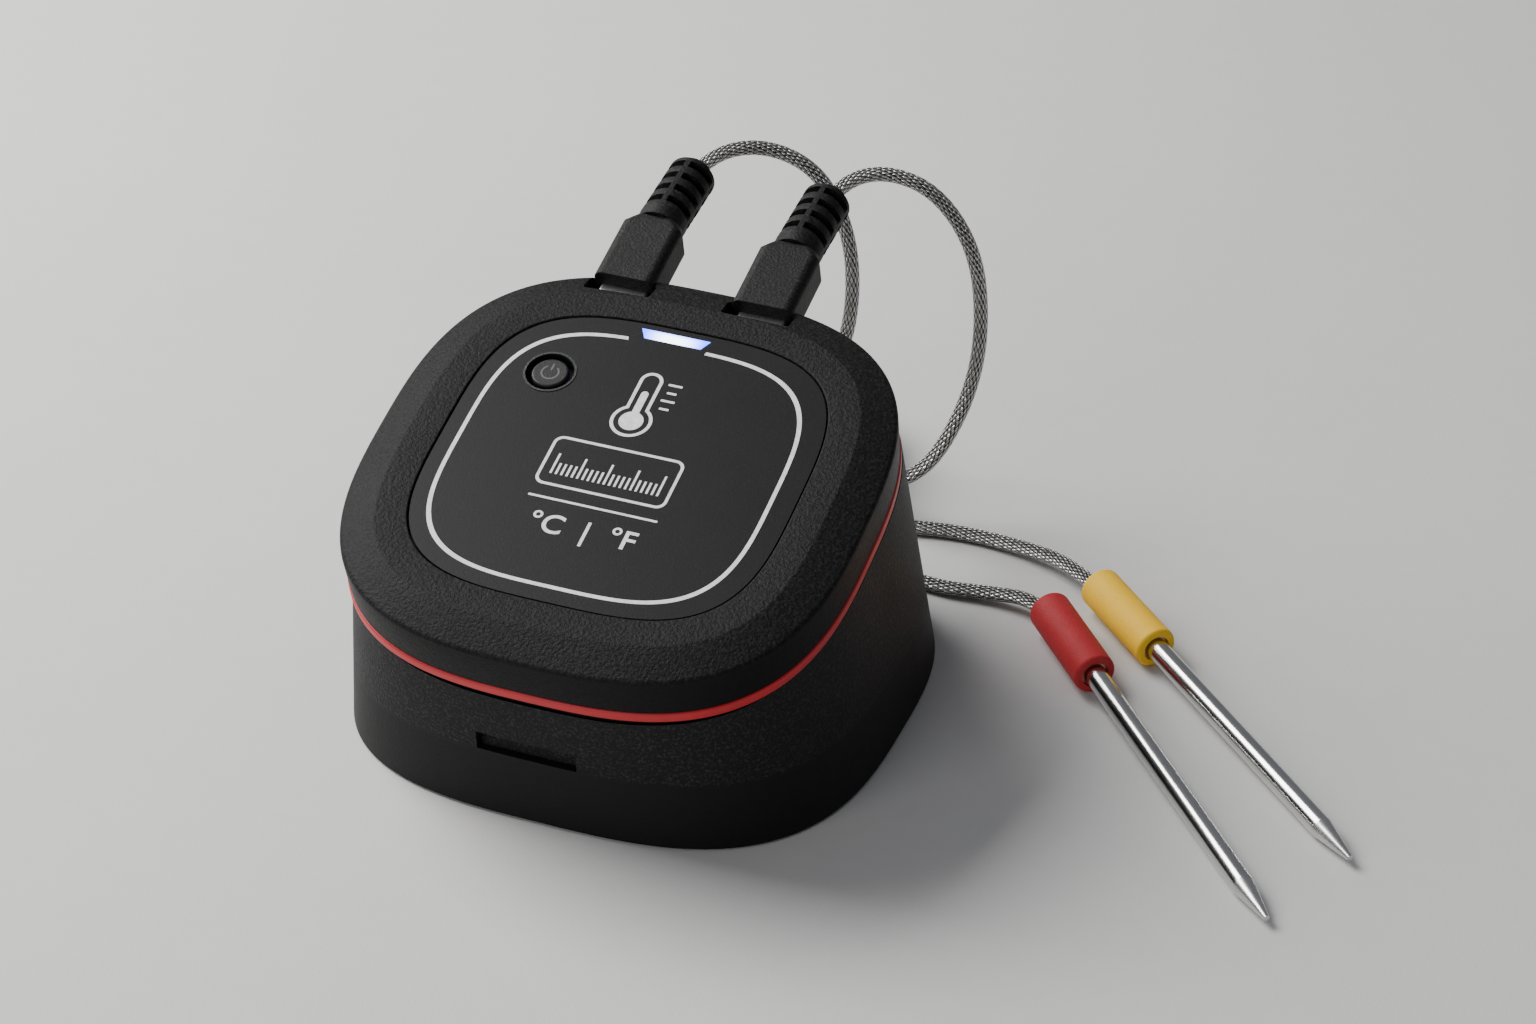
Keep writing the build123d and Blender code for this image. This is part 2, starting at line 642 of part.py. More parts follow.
# ================================================================ plugs
for colour, plug_u in plug_us.items():
    with BuildPart() as plug_tip:
        with BuildSketch(slope_plane(plug_u, TIP_START, PLUG_DEPTH)):
            RectangleRounded(TIP_WIDTH, TIP_THICK, 0.45)
        extrude(amount=MOULD_START - TIP_START)
    save(plug_tip.part, f"{colour}_plug_tip")

    with BuildPart() as overmould:
        with BuildSketch(slope_plane(plug_u, MOULD_START, PLUG_DEPTH)):
            RectangleRounded(MOULD_WIDTH, MOULD_THICK, MOULD_CORNER)
        extrude(amount=MOULD_SHOULDER - MOULD_START)
        with BuildSketch(slope_plane(plug_u, MOULD_SHOULDER, PLUG_DEPTH)):
            RectangleRounded(MOULD_WIDTH, MOULD_THICK, MOULD_CORNER)
        with BuildSketch(slope_plane(plug_u, MOULD_END, PLUG_DEPTH)):
            RectangleRounded(MOULD_WIDTH - 1.5, MOULD_THICK - 0.4, 2.0)
        loft(ruled=True)
    save(overmould.part, f"{colour}_overmould")

    bend = head_point(plug_u, BOOT_BEND, PLUG_DEPTH)
    mouth = bend + boot_aim * (BOOT_REACH - 1.2)
    with BuildPart() as boot:
        with BuildSketch(slope_plane(plug_u, MOULD_END, PLUG_DEPTH)):
            Circle(BOOT_RADIUS)
        extrude(amount=BOOT_BEND + 0.4 - MOULD_END)
        with BuildSketch(Plane(origin=bend, x_dir=(1, 0, 0), z_dir=boot_aim)):
            Circle(BOOT_RADIUS)
        extrude(amount=BOOT_REACH - 1.2)
        # bevelled mouth
        with BuildSketch(Plane(origin=mouth, x_dir=(1, 0, 0), z_dir=boot_aim)):
            Circle(BOOT_RADIUS)
        with BuildSketch(Plane(origin=mouth + boot_aim * 1.2, x_dir=(1, 0, 0), z_dir=boot_aim)):
            Circle(BOOT_RADIUS - 0.9)
        loft(ruled=True)
        # rows of slots, left joined by four lengthwise ribs
        for row in range(4):
            slot_start = bend + boot_aim * (SLOT_FIRST + SLOT_PITCH * row)
            with BuildSketch(Plane(origin=slot_start, x_dir=(1, 0, 0), z_dir=boot_aim)):
                Circle(BOOT_RADIUS + 0.5)
                Circle(BOOT_RADIUS - 1.0, mode=Mode.SUBTRACT)
                Rectangle(0.7, 9, mode=Mode.SUBTRACT)
                Rectangle(9, 0.7, mode=Mode.SUBTRACT)
            extrude(amount=SLOT_WIDTH, mode=Mode.SUBTRACT)
        with BuildSketch(Plane(origin=bend, x_dir=(1, 0, 0), z_dir=boot_aim)):
            Circle(CORD_RADIUS)
        extrude(amount=20, mode=Mode.SUBTRACT)
    save(boot.part, f"{colour}_boot")

# ================================================================ cords
boot_exit = {
    colour: head_point(u, BOOT_BEND, PLUG_DEPTH) + boot_aim * (BOOT_REACH - 3)
    for colour, u in plug_us.items()
}
red_arc = [
    tuple(boot_exit["red"]),
    (-11.7, 49.3, 50.8),
    (-5.6, 54.8, 51.4),
    (2.6, 55.6, 48.6),
    (7.6, 54.9, 40.0),
    (8.8, 53.7, 29.5),
    (6.8, 54.0, 20.0),
    (0.5, 56.2, 13.8),
    (-10.0, 58.6, 11.9),
    (-20.5, 61.8, 10.4),
    (-27.5, 63.0, 7.9),
    (-33.0, 63.0, 7.0),
]
red_lead = [
    (-33.0, 37.0, 1.0),
    (-15.0, 36.9, 1.0),
    (3.0, 37.3, 1.0),
    (14.5, 36.7, 1.0),
    (22.5, 34.0, 1.0),
    (29.5, 32.5, 1.0),
    (36.8, 33.6, 1.2),
    (43.3, 32.4, 2.6),
    (48.1, 27.3, 3.3),
]
yellow_arc = [
    tuple(boot_exit["yellow"]),
    (7.8, 49.2, 50.8),
    (13.0, 53.2, 51.8),
    (20.6, 53.4, 49.8),
    (26.4, 53.4, 41.5),
    (27.9, 52.6, 30.0),
    (26.9, 51.6, 20.8),
    (24.4, 49.0, 13.4),
    (21.6, 47.7, 9.0),
    (17.2, 46.9, 6.2),
    (12.5, 49.2, 5.6),
    (10.3, 53.6, 5.8),
    (9.4, 60.0, 6.6),
    (6.5, 66.1, 7.0),
]
yellow_lead = [
    (-4.0, 45.5, 1.0),
    (5.0, 45.5, 1.0),
    (18.0, 44.6, 1.0),
    (27.0, 46.8, 1.0),
    (37.0, 46.0, 1.3),
    (45.6, 42.3, 2.8),
    (52.9, 35.3, 3.3),
]


def corner_radii(points):
    """Bend radius at each inner corner: 0.45 of the shorter run over the tangent of half the turn."""
    radii = []
    for before, here, after in zip(points, points[1:], points[2:]):
        run_in = Vector(*here) - Vector(*before)
        run_out = Vector(*after) - Vector(*here)
        turn = math.radians(run_in.get_angle(run_out))
        radii.append(0.45 * min(run_in.length, run_out.length) / math.tan(turn / 2))
    return radii


def cord_tube(points):
    """Round cord along straight runs joined by tangent arcs."""
    with BuildPart() as tube:
        with BuildLine() as route:
            FilletPolyline(*points, radius=corner_radii(points))
        start = Plane(origin=route.line @ 0, z_dir=route.line % 0)
        with BuildSketch(start):
            Circle(CORD_RADIUS)
        sweep(path=route.line)
    return tube.part


coil_centres = {"red": (-33.0, 50.0), "yellow": (-4.0, 58.5)}
cord_routes = {"red": (red_arc, red_lead), "yellow": (yellow_arc, yellow_lead)}
for colour, (arc, lead) in cord_routes.items():
    print(colour, "arc radii", [round(r, 1) for r in corner_radii(arc)])
    print(colour, "lead radii", [round(r, 1) for r in corner_radii(lead)])
    save(cord_tube(arc), f"{colour}_cord")
    save(cord_tube(lead), f"{colour}_lead")

    with BuildPart() as coil:
        with BuildSketch(Plane.XZ):
            with Locations(((COIL_INNER + COIL_OUTER) / 2, COIL_HEIGHT / 2)):
                RectangleRounded(COIL_OUTER - COIL_INNER, COIL_HEIGHT, 0.9)
        revolve(axis=Axis.Z)
    coil_x, coil_y = coil_centres[colour]
    save(coil.part.moved(Location((coil_x, coil_y, 0))), f"{colour}_coil")

# ================================================================ probes
probe_ends = {
    "red": ((56.2, 17.9, 2.95), (89.9, -21.2, 1.3)),
    "yellow": ((62.0, 26.8, 2.95), (96.5, -5.8, 1.3)),
}
for colour, (mouth, point) in probe_ends.items():
    mouth_point = Vector(*mouth)
    point_point = Vector(*point)
    aim = (point_point - mouth_point).normalized()
    rod_plane = Plane(origin=mouth_point - aim * 6.0, z_dir=aim)
    rod_length = (point_point - mouth_point).length + 6.0
    back_plane = Plane(origin=mouth_point - aim * COLLAR_LENGTH, z_dir=aim)

    with BuildPart() as rod:
        with BuildSketch(rod_plane):
            Circle(ROD_RADIUS)
        extrude(amount=rod_length - TAPER_LENGTH)
        with BuildSketch(rod_plane.offset(rod_length - TAPER_LENGTH)):
            Circle(ROD_RADIUS)
        with BuildSketch(rod_plane.offset(rod_length)):
            Circle(TAPER_TIP)
        loft()
        with BuildSketch(rod_plane):
            Circle(ROD_BORE)
        extrude(amount=rod_length - 5.0, mode=Mode.SUBTRACT)
    save(rod.part, f"{colour}_rod")

    with BuildPart() as sensor:
        with BuildSketch(rod_plane.offset(rod_length - 9.4)):
            Circle(ROD_BORE - 0.1)
        extrude(amount=4.2)
    save(sensor.part, f"{colour}_sensor")

    with BuildPart() as sleeve:
        with BuildSketch(back_plane.offset(0.6)):
            Circle(SLEEVE_RADIUS)
        extrude(amount=COLLAR_LENGTH - 1.1)
        with BuildSketch(back_plane.offset(COLLAR_LENGTH - 6.0)):
            Circle(ROD_RADIUS)
        extrude(amount=8, mode=Mode.SUBTRACT)
        with BuildSketch(back_plane):
            Circle(CORD_RADIUS)
        extrude(amount=6, mode=Mode.SUBTRACT)
    save(sleeve.part, f"{colour}_crimp")

    with BuildPart() as collar:
        with BuildSketch(back_plane):
            Circle(COLLAR_RADIUS)
            Circle(SLEEVE_RADIUS, mode=Mode.SUBTRACT)
        extrude(amount=COLLAR_LENGTH)
        rims = collar.edges().filter_by(GeomType.CIRCLE)
        fillet([e for e in rims if e.radius > SLEEVE_RADIUS + 0.5], 0.5)
    save(collar.part, f"{colour}_collar")
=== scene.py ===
"""Looks of the two-probe meat thermometer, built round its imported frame. Lengths are in metres."""

import math

import bmesh
import bpy
from mathutils import Matrix, Vector


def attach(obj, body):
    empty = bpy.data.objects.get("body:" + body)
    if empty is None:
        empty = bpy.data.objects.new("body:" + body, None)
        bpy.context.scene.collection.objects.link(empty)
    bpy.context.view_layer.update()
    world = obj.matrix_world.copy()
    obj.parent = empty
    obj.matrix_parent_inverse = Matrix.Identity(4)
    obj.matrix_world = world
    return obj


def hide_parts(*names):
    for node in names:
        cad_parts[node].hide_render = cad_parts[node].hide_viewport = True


MM = 0.001

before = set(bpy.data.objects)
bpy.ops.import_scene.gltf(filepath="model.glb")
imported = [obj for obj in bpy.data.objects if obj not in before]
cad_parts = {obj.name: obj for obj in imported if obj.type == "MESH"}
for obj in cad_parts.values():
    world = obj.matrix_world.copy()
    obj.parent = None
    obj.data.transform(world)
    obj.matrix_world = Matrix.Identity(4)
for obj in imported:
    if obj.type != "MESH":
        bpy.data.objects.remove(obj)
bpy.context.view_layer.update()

# ---------------------------------------------------------------- the head's own directions
TILT = math.radians(16.18)
FACE_CENTRE = Vector((0, -9.62, 38.7)) * MM
OUT = Vector((0, -math.sin(TILT), math.cos(TILT)))
UP_SLOPE = Vector((0, math.cos(TILT), math.sin(TILT)))
PLUG_US = {"red": -11.8, "yellow": 7.6}
PLUG_DEPTH = 2.95
BOOT_BEND = 44.4
BOOT_DROOP = math.radians(7.5)
BORE_RUN = 9.1  # from the bend to where the cord leaves the bore
LIGHT_CENTRE = (-1.1, 22.2)


def head_point(u, v, depth):
    """Point in the head, in millimetres: u to the right, v up the slope, depth below the face."""
    return FACE_CENTRE + (Vector((u, 0, 0)) + UP_SLOPE * v - OUT * depth) * MM


def boot_exit(colour):
    """Where a cord leaves the bore of its boot, in millimetres."""
    aim = UP_SLOPE * math.cos(BOOT_DROOP) - OUT * math.sin(BOOT_DROOP)
    return tuple(head_point(PLUG_US[colour], BOOT_BEND, PLUG_DEPTH) / MM + aim * BORE_RUN)


# ---------------------------------------------------------------- camera
def place_camera():
    data = bpy.data.cameras.new("camera")
    data.lens = 93.75
    data.sensor_width = 36
    data.clip_start = 0.02
    data.clip_end = 20
    camera = bpy.data.objects.new("camera", data)
    bpy.context.scene.collection.objects.link(camera)
    right = Vector((0.93455, 0.35552, 0.01466))
    up = Vector((-0.20452, 0.50299, 0.83975))
    back = right.cross(up)
    turn = Matrix((right, up, back)).transposed().to_4x4()
    camera.matrix_world = Matrix.Translation(Vector((164.78, -401.13, 305.93)) * MM) @ turn
    bpy.context.scene.camera = camera


place_camera()


# ---------------------------------------------------------------- tools for finishes
class Value:
    """A number inside a finish. Sums on it add Math nodes."""

    def __init__(self, finish, socket):
        self.finish = finish
        self.socket = socket

    def __add__(self, other):
        return self.finish.math("ADD", self, other)

    def __radd__(self, other):
        return self.finish.math("ADD", other, self)

    def __sub__(self, other):
        return self.finish.math("SUBTRACT", self, other)

    def __rsub__(self, other):
        return self.finish.math("SUBTRACT", other, self)

    def __mul__(self, other):
        return self.finish.math("MULTIPLY", self, other)

    def __rmul__(self, other):
        return self.finish.math("MULTIPLY", other, self)

    def __pow__(self, other):
        return self.finish.math("POWER", self, other)

    def step(self, low, high):
        """0 below low, 1 above high, smooth between."""
        node = self.finish.node(
            "ShaderNodeMapRange",
            {"interpolation_type": "SMOOTHSTEP"},
            {"Value": self, "From Min": low, "From Max": high},
        )
        return Value(self.finish, node.outputs[0])


class Finish:
    """A material under construction, with its Principled shader."""

    def __init__(self, name, even):
        self.material = bpy.data.materials.new(name)
        self.material.use_nodes = True
        self.tree = self.material.node_tree
        self.shader = self.tree.nodes["Principled BSDF"]
        for socket, value in even.items():
            self.shader.inputs[socket].default_value = value
        self.place = self.node("ShaderNodeTexCoord").outputs["Object"]

    def node(self, kind, settings=None, inputs=None):
        """Any node: its settings first, then the values or links of its sockets."""
        made = self.tree.nodes.new(kind)
        for key, setting in (settings or {}).items():
            setattr(made, key, setting)
        for key, value in (inputs or {}).items():
            if isinstance(value, Value):
                value = value.socket
            if isinstance(value, bpy.types.NodeSocket):
                self.tree.links.new(value, made.inputs[key])
            else:
                made.inputs[key].default_value = value
        return made

    def math(self, operation, first, second=0.0):
        made = self.node("ShaderNodeMath", {"operation": operation}, {0: first, 1: second})
        return Value(self, made.outputs[0])

    def along(self, direction, start=(0, 0, 0)):
        """How far a point lies along a direction from a start, in millimetres."""
        away = self.node(
            "ShaderNodeVectorMath", {"operation": "SUBTRACT"}, {0: self.place, 1: tuple(start)}
        )
        lengthwise = self.node(
            "ShaderNodeVectorMath",
            {"operation": "DOT_PRODUCT"},
            {0: away.outputs[0], 1: tuple(direction)},
        )
        return Value(self, lengthwise.outputs["Value"]) * 1000

    def noise(self, size, detail=2.0, roughness=0.5, stretch=(1, 1, 1), place=None):
        """Cloudy noise, 0 to 1, of a size in millimetres."""
        mapped = self.node(
            "ShaderNodeMapping", None, {"Vector": place or self.place, "Scale": stretch}
        )
        made = self.node(
            "ShaderNodeTexNoise",
            None,
            {
                "Vector": mapped.outputs[0],
                "Scale": 1000 / size,
                "Detail": detail,
                "Roughness": roughness,
            },
        )
        return Value(self, made.outputs[0])

    def cells(self, size, smooth=0.6):
        """Distance to the nearest pip of a pebbled grain, of a size in millimetres."""
        made = self.node(
            "ShaderNodeTexVoronoi",
            {"feature": "SMOOTH_F1"},
            {"Vector": self.place, "Scale": 1000 / size, "Smoothness": smooth},
        )
        return Value(self, made.outputs["Distance"])

    def mix(self, factor, first, second):
        """Blend of two colours."""
        made = self.node(
            "ShaderNodeMix", {"data_type": "RGBA"}, {0: factor, 6: first, 7: second}
        )
        return made.outputs[2]

    def bump(self, height, depth, strength=1.0, under=None):
        """Raised relief of a depth in millimetres."""
        inputs = {"Height": height, "Distance": depth * MM, "Strength": strength}
        if under is not None:
            inputs["Normal"] = under
        return self.node("ShaderNodeBump", None, inputs).outputs[0]

    def feed(self, **links):
        """Links what varies to the shader: colour, roughness, metallic, emission or normal."""
        names = {
            "colour": "Base Color",
            "roughness": "Roughness",
            "metallic": "Metallic",
            "emission": "Emission Color",
            "normal": "Normal",
        }
        for key, value in links.items():
            socket = value.socket if isinstance(value, Value) else value
            self.tree.links.new(socket, self.shader.inputs[names[key]])
        return self.material


def grey(level, tint=(1, 1, 1)):
    return (level * tint[0], level * tint[1], level * tint[2], 1)


# ---------------------------------------------------------------- finishes
COOL = (1.0, 1.0, 1.06)


def grained_shell():
    """Front shell: pebbled on the face and its chamfer, nearly smooth down the sides. Pale specks on the
    pebbles are painted glints.
    """
    f = Finish("grained black shell", {"Roughness": 0.5, "Specular IOR Level": 0.1})
    depth = 0 - f.along(OUT, FACE_CENTRE)
    side = depth.step(1.4, 2.2)
    pips = f.noise(0.42, 3.0, 0.6)
    fine = f.noise(0.16, 2.0, 0.6)
    broad = f.noise(9.0, 3.0, 0.55)
    # pale specks on the grain's pips: painted glints, which make the face read lighter than the sides
    grain_glint_speck = (pips * 0.65 + fine * 0.35).step(0.42, 0.66)
    face = f.mix(grain_glint_speck, grey(0.006, COOL), grey(0.02, COOL))
    wall = f.mix(broad, grey(0.0038, COOL), grey(0.0055, COOL))
    rough = 0.46 + broad * 0.08 + grain_glint_speck * 0.1 - side * 0.06
    relief = f.bump(pips * (1 - side * 0.72), 0.2, 0.85)
    relief = f.bump(fine * (1 - side * 0.6), 0.05, 0.6, relief)
    return f.feed(colour=f.mix(side, face, wall), roughness=rough, normal=relief)


def cradle_black():
    """Cradle: fine dull texture, a little stronger on its upper band, where pale specks paint the band
    lighter, as if lit from above.
    """
    f = Finish("dull black cradle", {"Roughness": 0.55, "Specular IOR Level": 0.15})
    height = f.along((0, 0, 1))
    broad = f.noise(12.0, 3.0, 0.6)
    pips = f.noise(0.38, 3.0, 0.6)
    band = height.step(10.0, 10.8)
    shade = f.mix(broad, grey(0.006, COOL), grey(0.009, COOL))
    # pale specks on the upper band are painted light: they make the upward-facing band read lighter than the
    # wall below
    pale_specks = f.mix((pips * band).step(0.45, 0.75), shade, grey(0.034, COOL))
    relief = f.bump(pips * (0.35 + band * 0.6), 0.14, 0.8)
    return f.feed(colour=pale_specks, roughness=0.5 + broad * 0.1, normal=relief)


def plain_black(name, level=0.01, rough=0.5, grain=0.3):
    """Smoother black moulding with a faint spark-eroded texture."""
    f = Finish(name, {"Specular IOR Level": 0.16})
    broad = f.noise(7.0, 3.0, 0.5)
    pips = f.noise(grain, 2.0, 0.5)
    shade = f.mix(broad, grey(level * 0.8, COOL), grey(level * 1.25, COOL))
    return f.feed(
        colour=shade,
        roughness=rough - 0.04 + broad * 0.08,
        normal=f.bump(pips, 0.05, 0.5),
    )


def plug_black():
    """Soft overmoulding: pebbled grain whose pip tops carry pale painted glints."""
    f = Finish("soft black plug", {"Specular IOR Level": 0.16})
    pips = f.noise(0.36, 3.0, 0.65)
    broad = f.noise(5.0, 2.0, 0.5)
    # pale specks on the tops of the pips are painted glints
    grain_glint_speck = pips.step(0.45, 0.7)
    shade = f.mix(grain_glint_speck, grey(0.006), grey(0.02))
    return f.feed(
        colour=shade, roughness=0.48 + broad * 0.12, normal=f.bump(pips, 0.14, 0.8)
    )


def panel_black():
    """Face panel: satin film with a faint fine tooth."""
    f = Finish("satin black panel", {"Specular IOR Level": 0.11})
    broad = f.noise(14.0, 3.0, 0.55)
    tooth = f.noise(0.22, 2.0, 0.6)
    shade = f.mix(broad, grey(0.0075, COOL), grey(0.0105, COOL))
    pale_specks = f.mix(tooth.step(0.5, 0.75), shade, grey(0.015, COOL))
    return f.feed(
        colour=pale_specks, roughness=0.38 + broad * 0.08, normal=f.bump(tooth, 0.03, 0.6)
    )


def print_grey():
    """Screen-printed marks: pale ink that thins a little in places."""
    f = Finish("pale grey print", {"Roughness": 0.5})
    thin = f.noise(0.9, 3.0, 0.6)
    shade = f.mix(thin.step(0.35, 0.7), grey(0.62), grey(0.78))
    return f.feed(colour=shade, normal=f.bump(thin, 0.01, 0.3))


def faint_print():
    """Dim mark on the button."""
    f = Finish("dim button print", {"Roughness": 0.45})
    thin = f.noise(0.7, 3.0, 0.6)
    return f.feed(colour=f.mix(thin, grey(0.03), grey(0.06)), normal=f.bump(thin, 0.01, 0.3))


def ring_red():
    """Red band: satin plastic with slight streaks along its length."""
    f = Finish("satin red band", {"Specular IOR Level": 0.4})
    broad = f.noise(6.0, 3.0, 0.5)
    fine = f.noise(0.3, 2.0, 0.5)
    shade = f.mix(broad, (0.42, 0.012, 0.018, 1), (0.56, 0.02, 0.026, 1))
    return f.feed(colour=shade, roughness=0.36 + fine * 0.14, normal=f.bump(fine, 0.03, 0.5))


def light_blue():
    """Light bar: white-blue heart with saturated blue ends."""
    f = Finish("lit blue window", {"Roughness": 0.3, "Emission Strength": 7.0})
    middle = head_point(*LIGHT_CENTRE, 0)
    across = f.math("ABSOLUTE", f.along((1, 0, 0), middle))
    upward = f.along(UP_SLOPE, middle)
    heart = (1 - across.step(0.6, 4.4)) * (1 - upward.step(0.1, 1.1))
    cloud = f.noise(1.2, 2.0, 0.5)
    glow = f.mix(heart * (0.85 + cloud * 0.2), (0.03, 0.09, 0.85, 1), (0.72, 0.84, 1.0, 1))
    return f.feed(colour=glow, emission=glow)


def steel(name, level, rough):
    """Drawn or turned steel with fine draw lines and faint smudges."""
    f = Finish(name, {"Metallic": 1.0})
    lines = f.noise(0.25, 3.0, 0.6)
    smudge = f.noise(5.0, 3.0, 0.6)
    shade = f.mix(smudge, grey(level * 0.86, (1, 0.995, 0.98)), grey(level * 1.08))
    return f.feed(
        colour=shade,
        roughness=rough + lines * 0.12 + smudge * 0.06,
        normal=f.bump(lines, 0.01, 0.4),
    )


def rod_steel(name, mouth, tip):
    """Polished rod: draw lines run along it, and the tapered end is ground across."""
    f = Finish(name, {"Metallic": 1.0})
    aim = (tip - mouth).normalized()
    turn = aim.to_track_quat("X", "Z").inverted().to_euler()
    turned = f.node("ShaderNodeMapping", None, {"Vector": f.place, "Rotation": tuple(turn)})
    drawn = f.noise(0.12, 3.0, 0.6, (0.005, 1, 1), turned.outputs[0])
    smudge = f.noise(4.0, 3.0, 0.6)
    lengthwise = f.along(aim, mouth)
    ground = lengthwise.step((tip - mouth).length / MM - 7.2, (tip - mouth).length / MM - 6.2)
    shade = f.mix(smudge, grey(0.56, (1, 0.99, 0.97)), grey(0.74))
    return f.feed(
        colour=shade,
        roughness=0.12 + drawn * 0.1 + smudge * 0.04 + ground * 0.08,
        normal=f.bump(drawn, 0.006, 0.4),
    )


STRANDS = 12
WEAVE_PITCH = 1.45  # millimetres along the cord


def braid_steel():
    """Woven steel sleeve: two sets of strands that pass over and under each other, with painted shade in the
    grooves between strands and on one set of strands.
    """
    f = Finish("braided steel", {"Metallic": 1.0})
    uv = f.node("ShaderNodeUVMap", {"uv_map": "length and turn"})
    parts = f.node("ShaderNodeSeparateXYZ", None, {"Vector": uv.outputs[0]})
    run = Value(f, parts.outputs[0])
    turn = Value(f, parts.outputs[1])
    lean_right = turn * STRANDS + run
    lean_left = turn * STRANDS - run
    wave_right = f.math("SINE", lean_right * math.pi)
    wave_left = f.math("SINE", lean_left * math.pi)
    tall_right = f.math("ABSOLUTE", wave_right)
    tall_left = f.math("ABSOLUTE", wave_left)
    which = (wave_right * wave_left).step(-0.12, 0.12)
    crown = (tall_right * tall_left) ** 0.6
    wires_right = f.math("SINE", lean_right * math.tau * 2)
    wires_left = f.math("SINE", lean_left * math.tau * 2)
    wires = wires_right * which + wires_left * (1 - which)
    # 1 on the strands' crowns, 0 in the grooves between them, where near-black shade is painted
    unshaded_crown = crown.step(0.2, 0.62)
    grime = f.noise(2.5, 3.0, 0.6)
    bright = f.mix(grime, (0.5, 0.495, 0.48, 1), (0.78, 0.775, 0.76, 1))
    shade = f.mix(unshaded_crown, (0.03, 0.029, 0.027, 1), bright)
    # the strands of one set are painted darker: painted shade that tells the two sets apart
    shade = f.mix(which * 0.4 * unshaded_crown, shade, (0.26, 0.255, 0.245, 1))
    relief = f.bump(crown, 0.3, 1.0)
    relief = f.bump(wires, 0.02, 0.4, relief)
    return f.feed(colour=shade, roughness=0.34 + grime * 0.1 - unshaded_crown * 0.05, normal=relief)


def collar_colour(name, low, high, dark):
    """Matt silicone collar with a sandy skin and slightly scuffed tops."""
    f = Finish(name, {"Specular IOR Level": 0.35})
    skin = f.noise(0.32, 3.0, 0.65)
    broad = f.noise(3.5, 3.0, 0.55)
    shade = f.mix(broad, low, high)
    shade = f.mix(skin.step(0.62, 0.8) * 0.6, shade, dark)
    return f.feed(colour=shade, roughness=0.55 + skin * 0.15, normal=f.bump(skin, 0.1, 0.8))


def copper():
    f = Finish("crimped copper", {"Metallic": 1.0})
    stain = f.noise(1.5, 3.0, 0.6)
    shade = f.mix(stain, (0.42, 0.2, 0.08, 1), (0.78, 0.5, 0.28, 1))
    return f.feed(colour=shade, roughness=0.28 + stain * 0.2, normal=f.bump(stain, 0.03, 0.5))


def coloured(name, low, high, rough, metal=0.0, size=2.0):
    """Finish of a sealed-in piece: two tones and a slight relief."""
    f = Finish(name, {"Metallic": metal})
    cloud = f.noise(size, 3.0, 0.55)
    return f.feed(
        colour=f.mix(cloud, low, high), roughness=rough + cloud * 0.1, normal=f.bump(cloud, 0.02, 0.4)
    )


def floor_paper():
    """Pale studio ground with a faint mottle and fine tooth."""
    f = Finish("pale studio ground", {"Specular IOR Level": 0.2})
    broad = f.noise(60.0, 3.0, 0.5)
    patch = f.noise(5.0, 4.0, 0.6)
    tooth = f.noise(0.5, 2.0, 0.6)
    shade = f.mix(broad * 0.5 + patch * 0.5, (0.56, 0.555, 0.548, 1), (0.63, 0.625, 0.617, 1))
    return f.feed(colour=shade, roughness=0.75 + tooth * 0.1, normal=f.bump(tooth, 0.05, 0.5))


# ---------------------------------------------------------------- tools for pieces
def add_piece(name, mesh, material, body, replaced=()):
    """A finished piece at the origin, on its body, standing for the frame nodes it replaces."""
    mesh.name = name
    mesh.materials.clear()
    mesh.materials.append(material)
    made = bpy.data.objects.new(name, mesh)
    bpy.context.scene.collection.objects.link(made)
    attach(made, body)
    if replaced:
        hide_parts(*replaced)
    return made


def mesh_of(points, faces, name="shape"):
    mesh = bpy.data.meshes.new(name)
    mesh.from_pydata([tuple(p) for p in points], [], faces)
    mesh.validate()
    return mesh


def shade_by_angle(mesh, degrees):
    for polygon in mesh.polygons:
        polygon.use_smooth = True
    mesh.set_sharp_from_angle(angle=math.radians(degrees))


def outwards(mesh):
    """Turns a closed mesh's faces outwards."""
    bm = bmesh.new()
    bm.from_mesh(mesh)
    bmesh.ops.recalc_face_normals(bm, faces=bm.faces)
    bm.to_mesh(mesh)
    bm.free()
    return mesh


def applied(mesh, *modifiers):
    """Mesh with modifiers applied: each is a kind and its settings."""
    carrier = bpy.data.objects.new("carrier", mesh)
    bpy.context.scene.collection.objects.link(carrier)
    for kind, settings in modifiers:
        modifier = carrier.modifiers.new(kind, kind)
        for key, value in settings.items():
            setattr(modifier, key, value)
    evaluated = carrier.evaluated_get(bpy.context.evaluated_depsgraph_get())
    result = bpy.data.meshes.new_from_object(evaluated)
    bpy.data.objects.remove(carrier)
    return result


def softened(node, width, degrees=28, segments=3):
    """Copy of a frame node with its corners eased."""
    bm = bmesh.new()
    bm.from_mesh(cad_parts[node].data)
    bmesh.ops.remove_doubles(bm, verts=bm.verts, dist=2e-6)
    bmesh.ops.dissolve_limit(
        bm, angle_limit=math.radians(0.6), verts=bm.verts, edges=bm.edges, use_dissolve_boundaries=False
    )
    mesh = bpy.data.meshes.new(node)
    bm.to_mesh(mesh)
    bm.free()
    shade_by_angle(mesh, degrees)
    eased = applied(
        mesh,
        (
            "BEVEL",
            {
                "width": width * MM,
                "segments": segments,
                "limit_method": "ANGLE",
                "angle_limit": math.radians(degrees),
                "miter_outer": "MITER_ARC",
            },
        ),
        ("WEIGHTED_NORMAL", {"keep_sharp": False}),
    )
    return eased


def round_square(half, squareness, angle):
    """Point on a square outline with full round corners."""
    reach = abs(math.cos(angle)) ** squareness + abs(math.sin(angle)) ** squareness
    radius = half / reach ** (1 / squareness)
    return radius * math.cos(angle), radius * math.sin(angle)


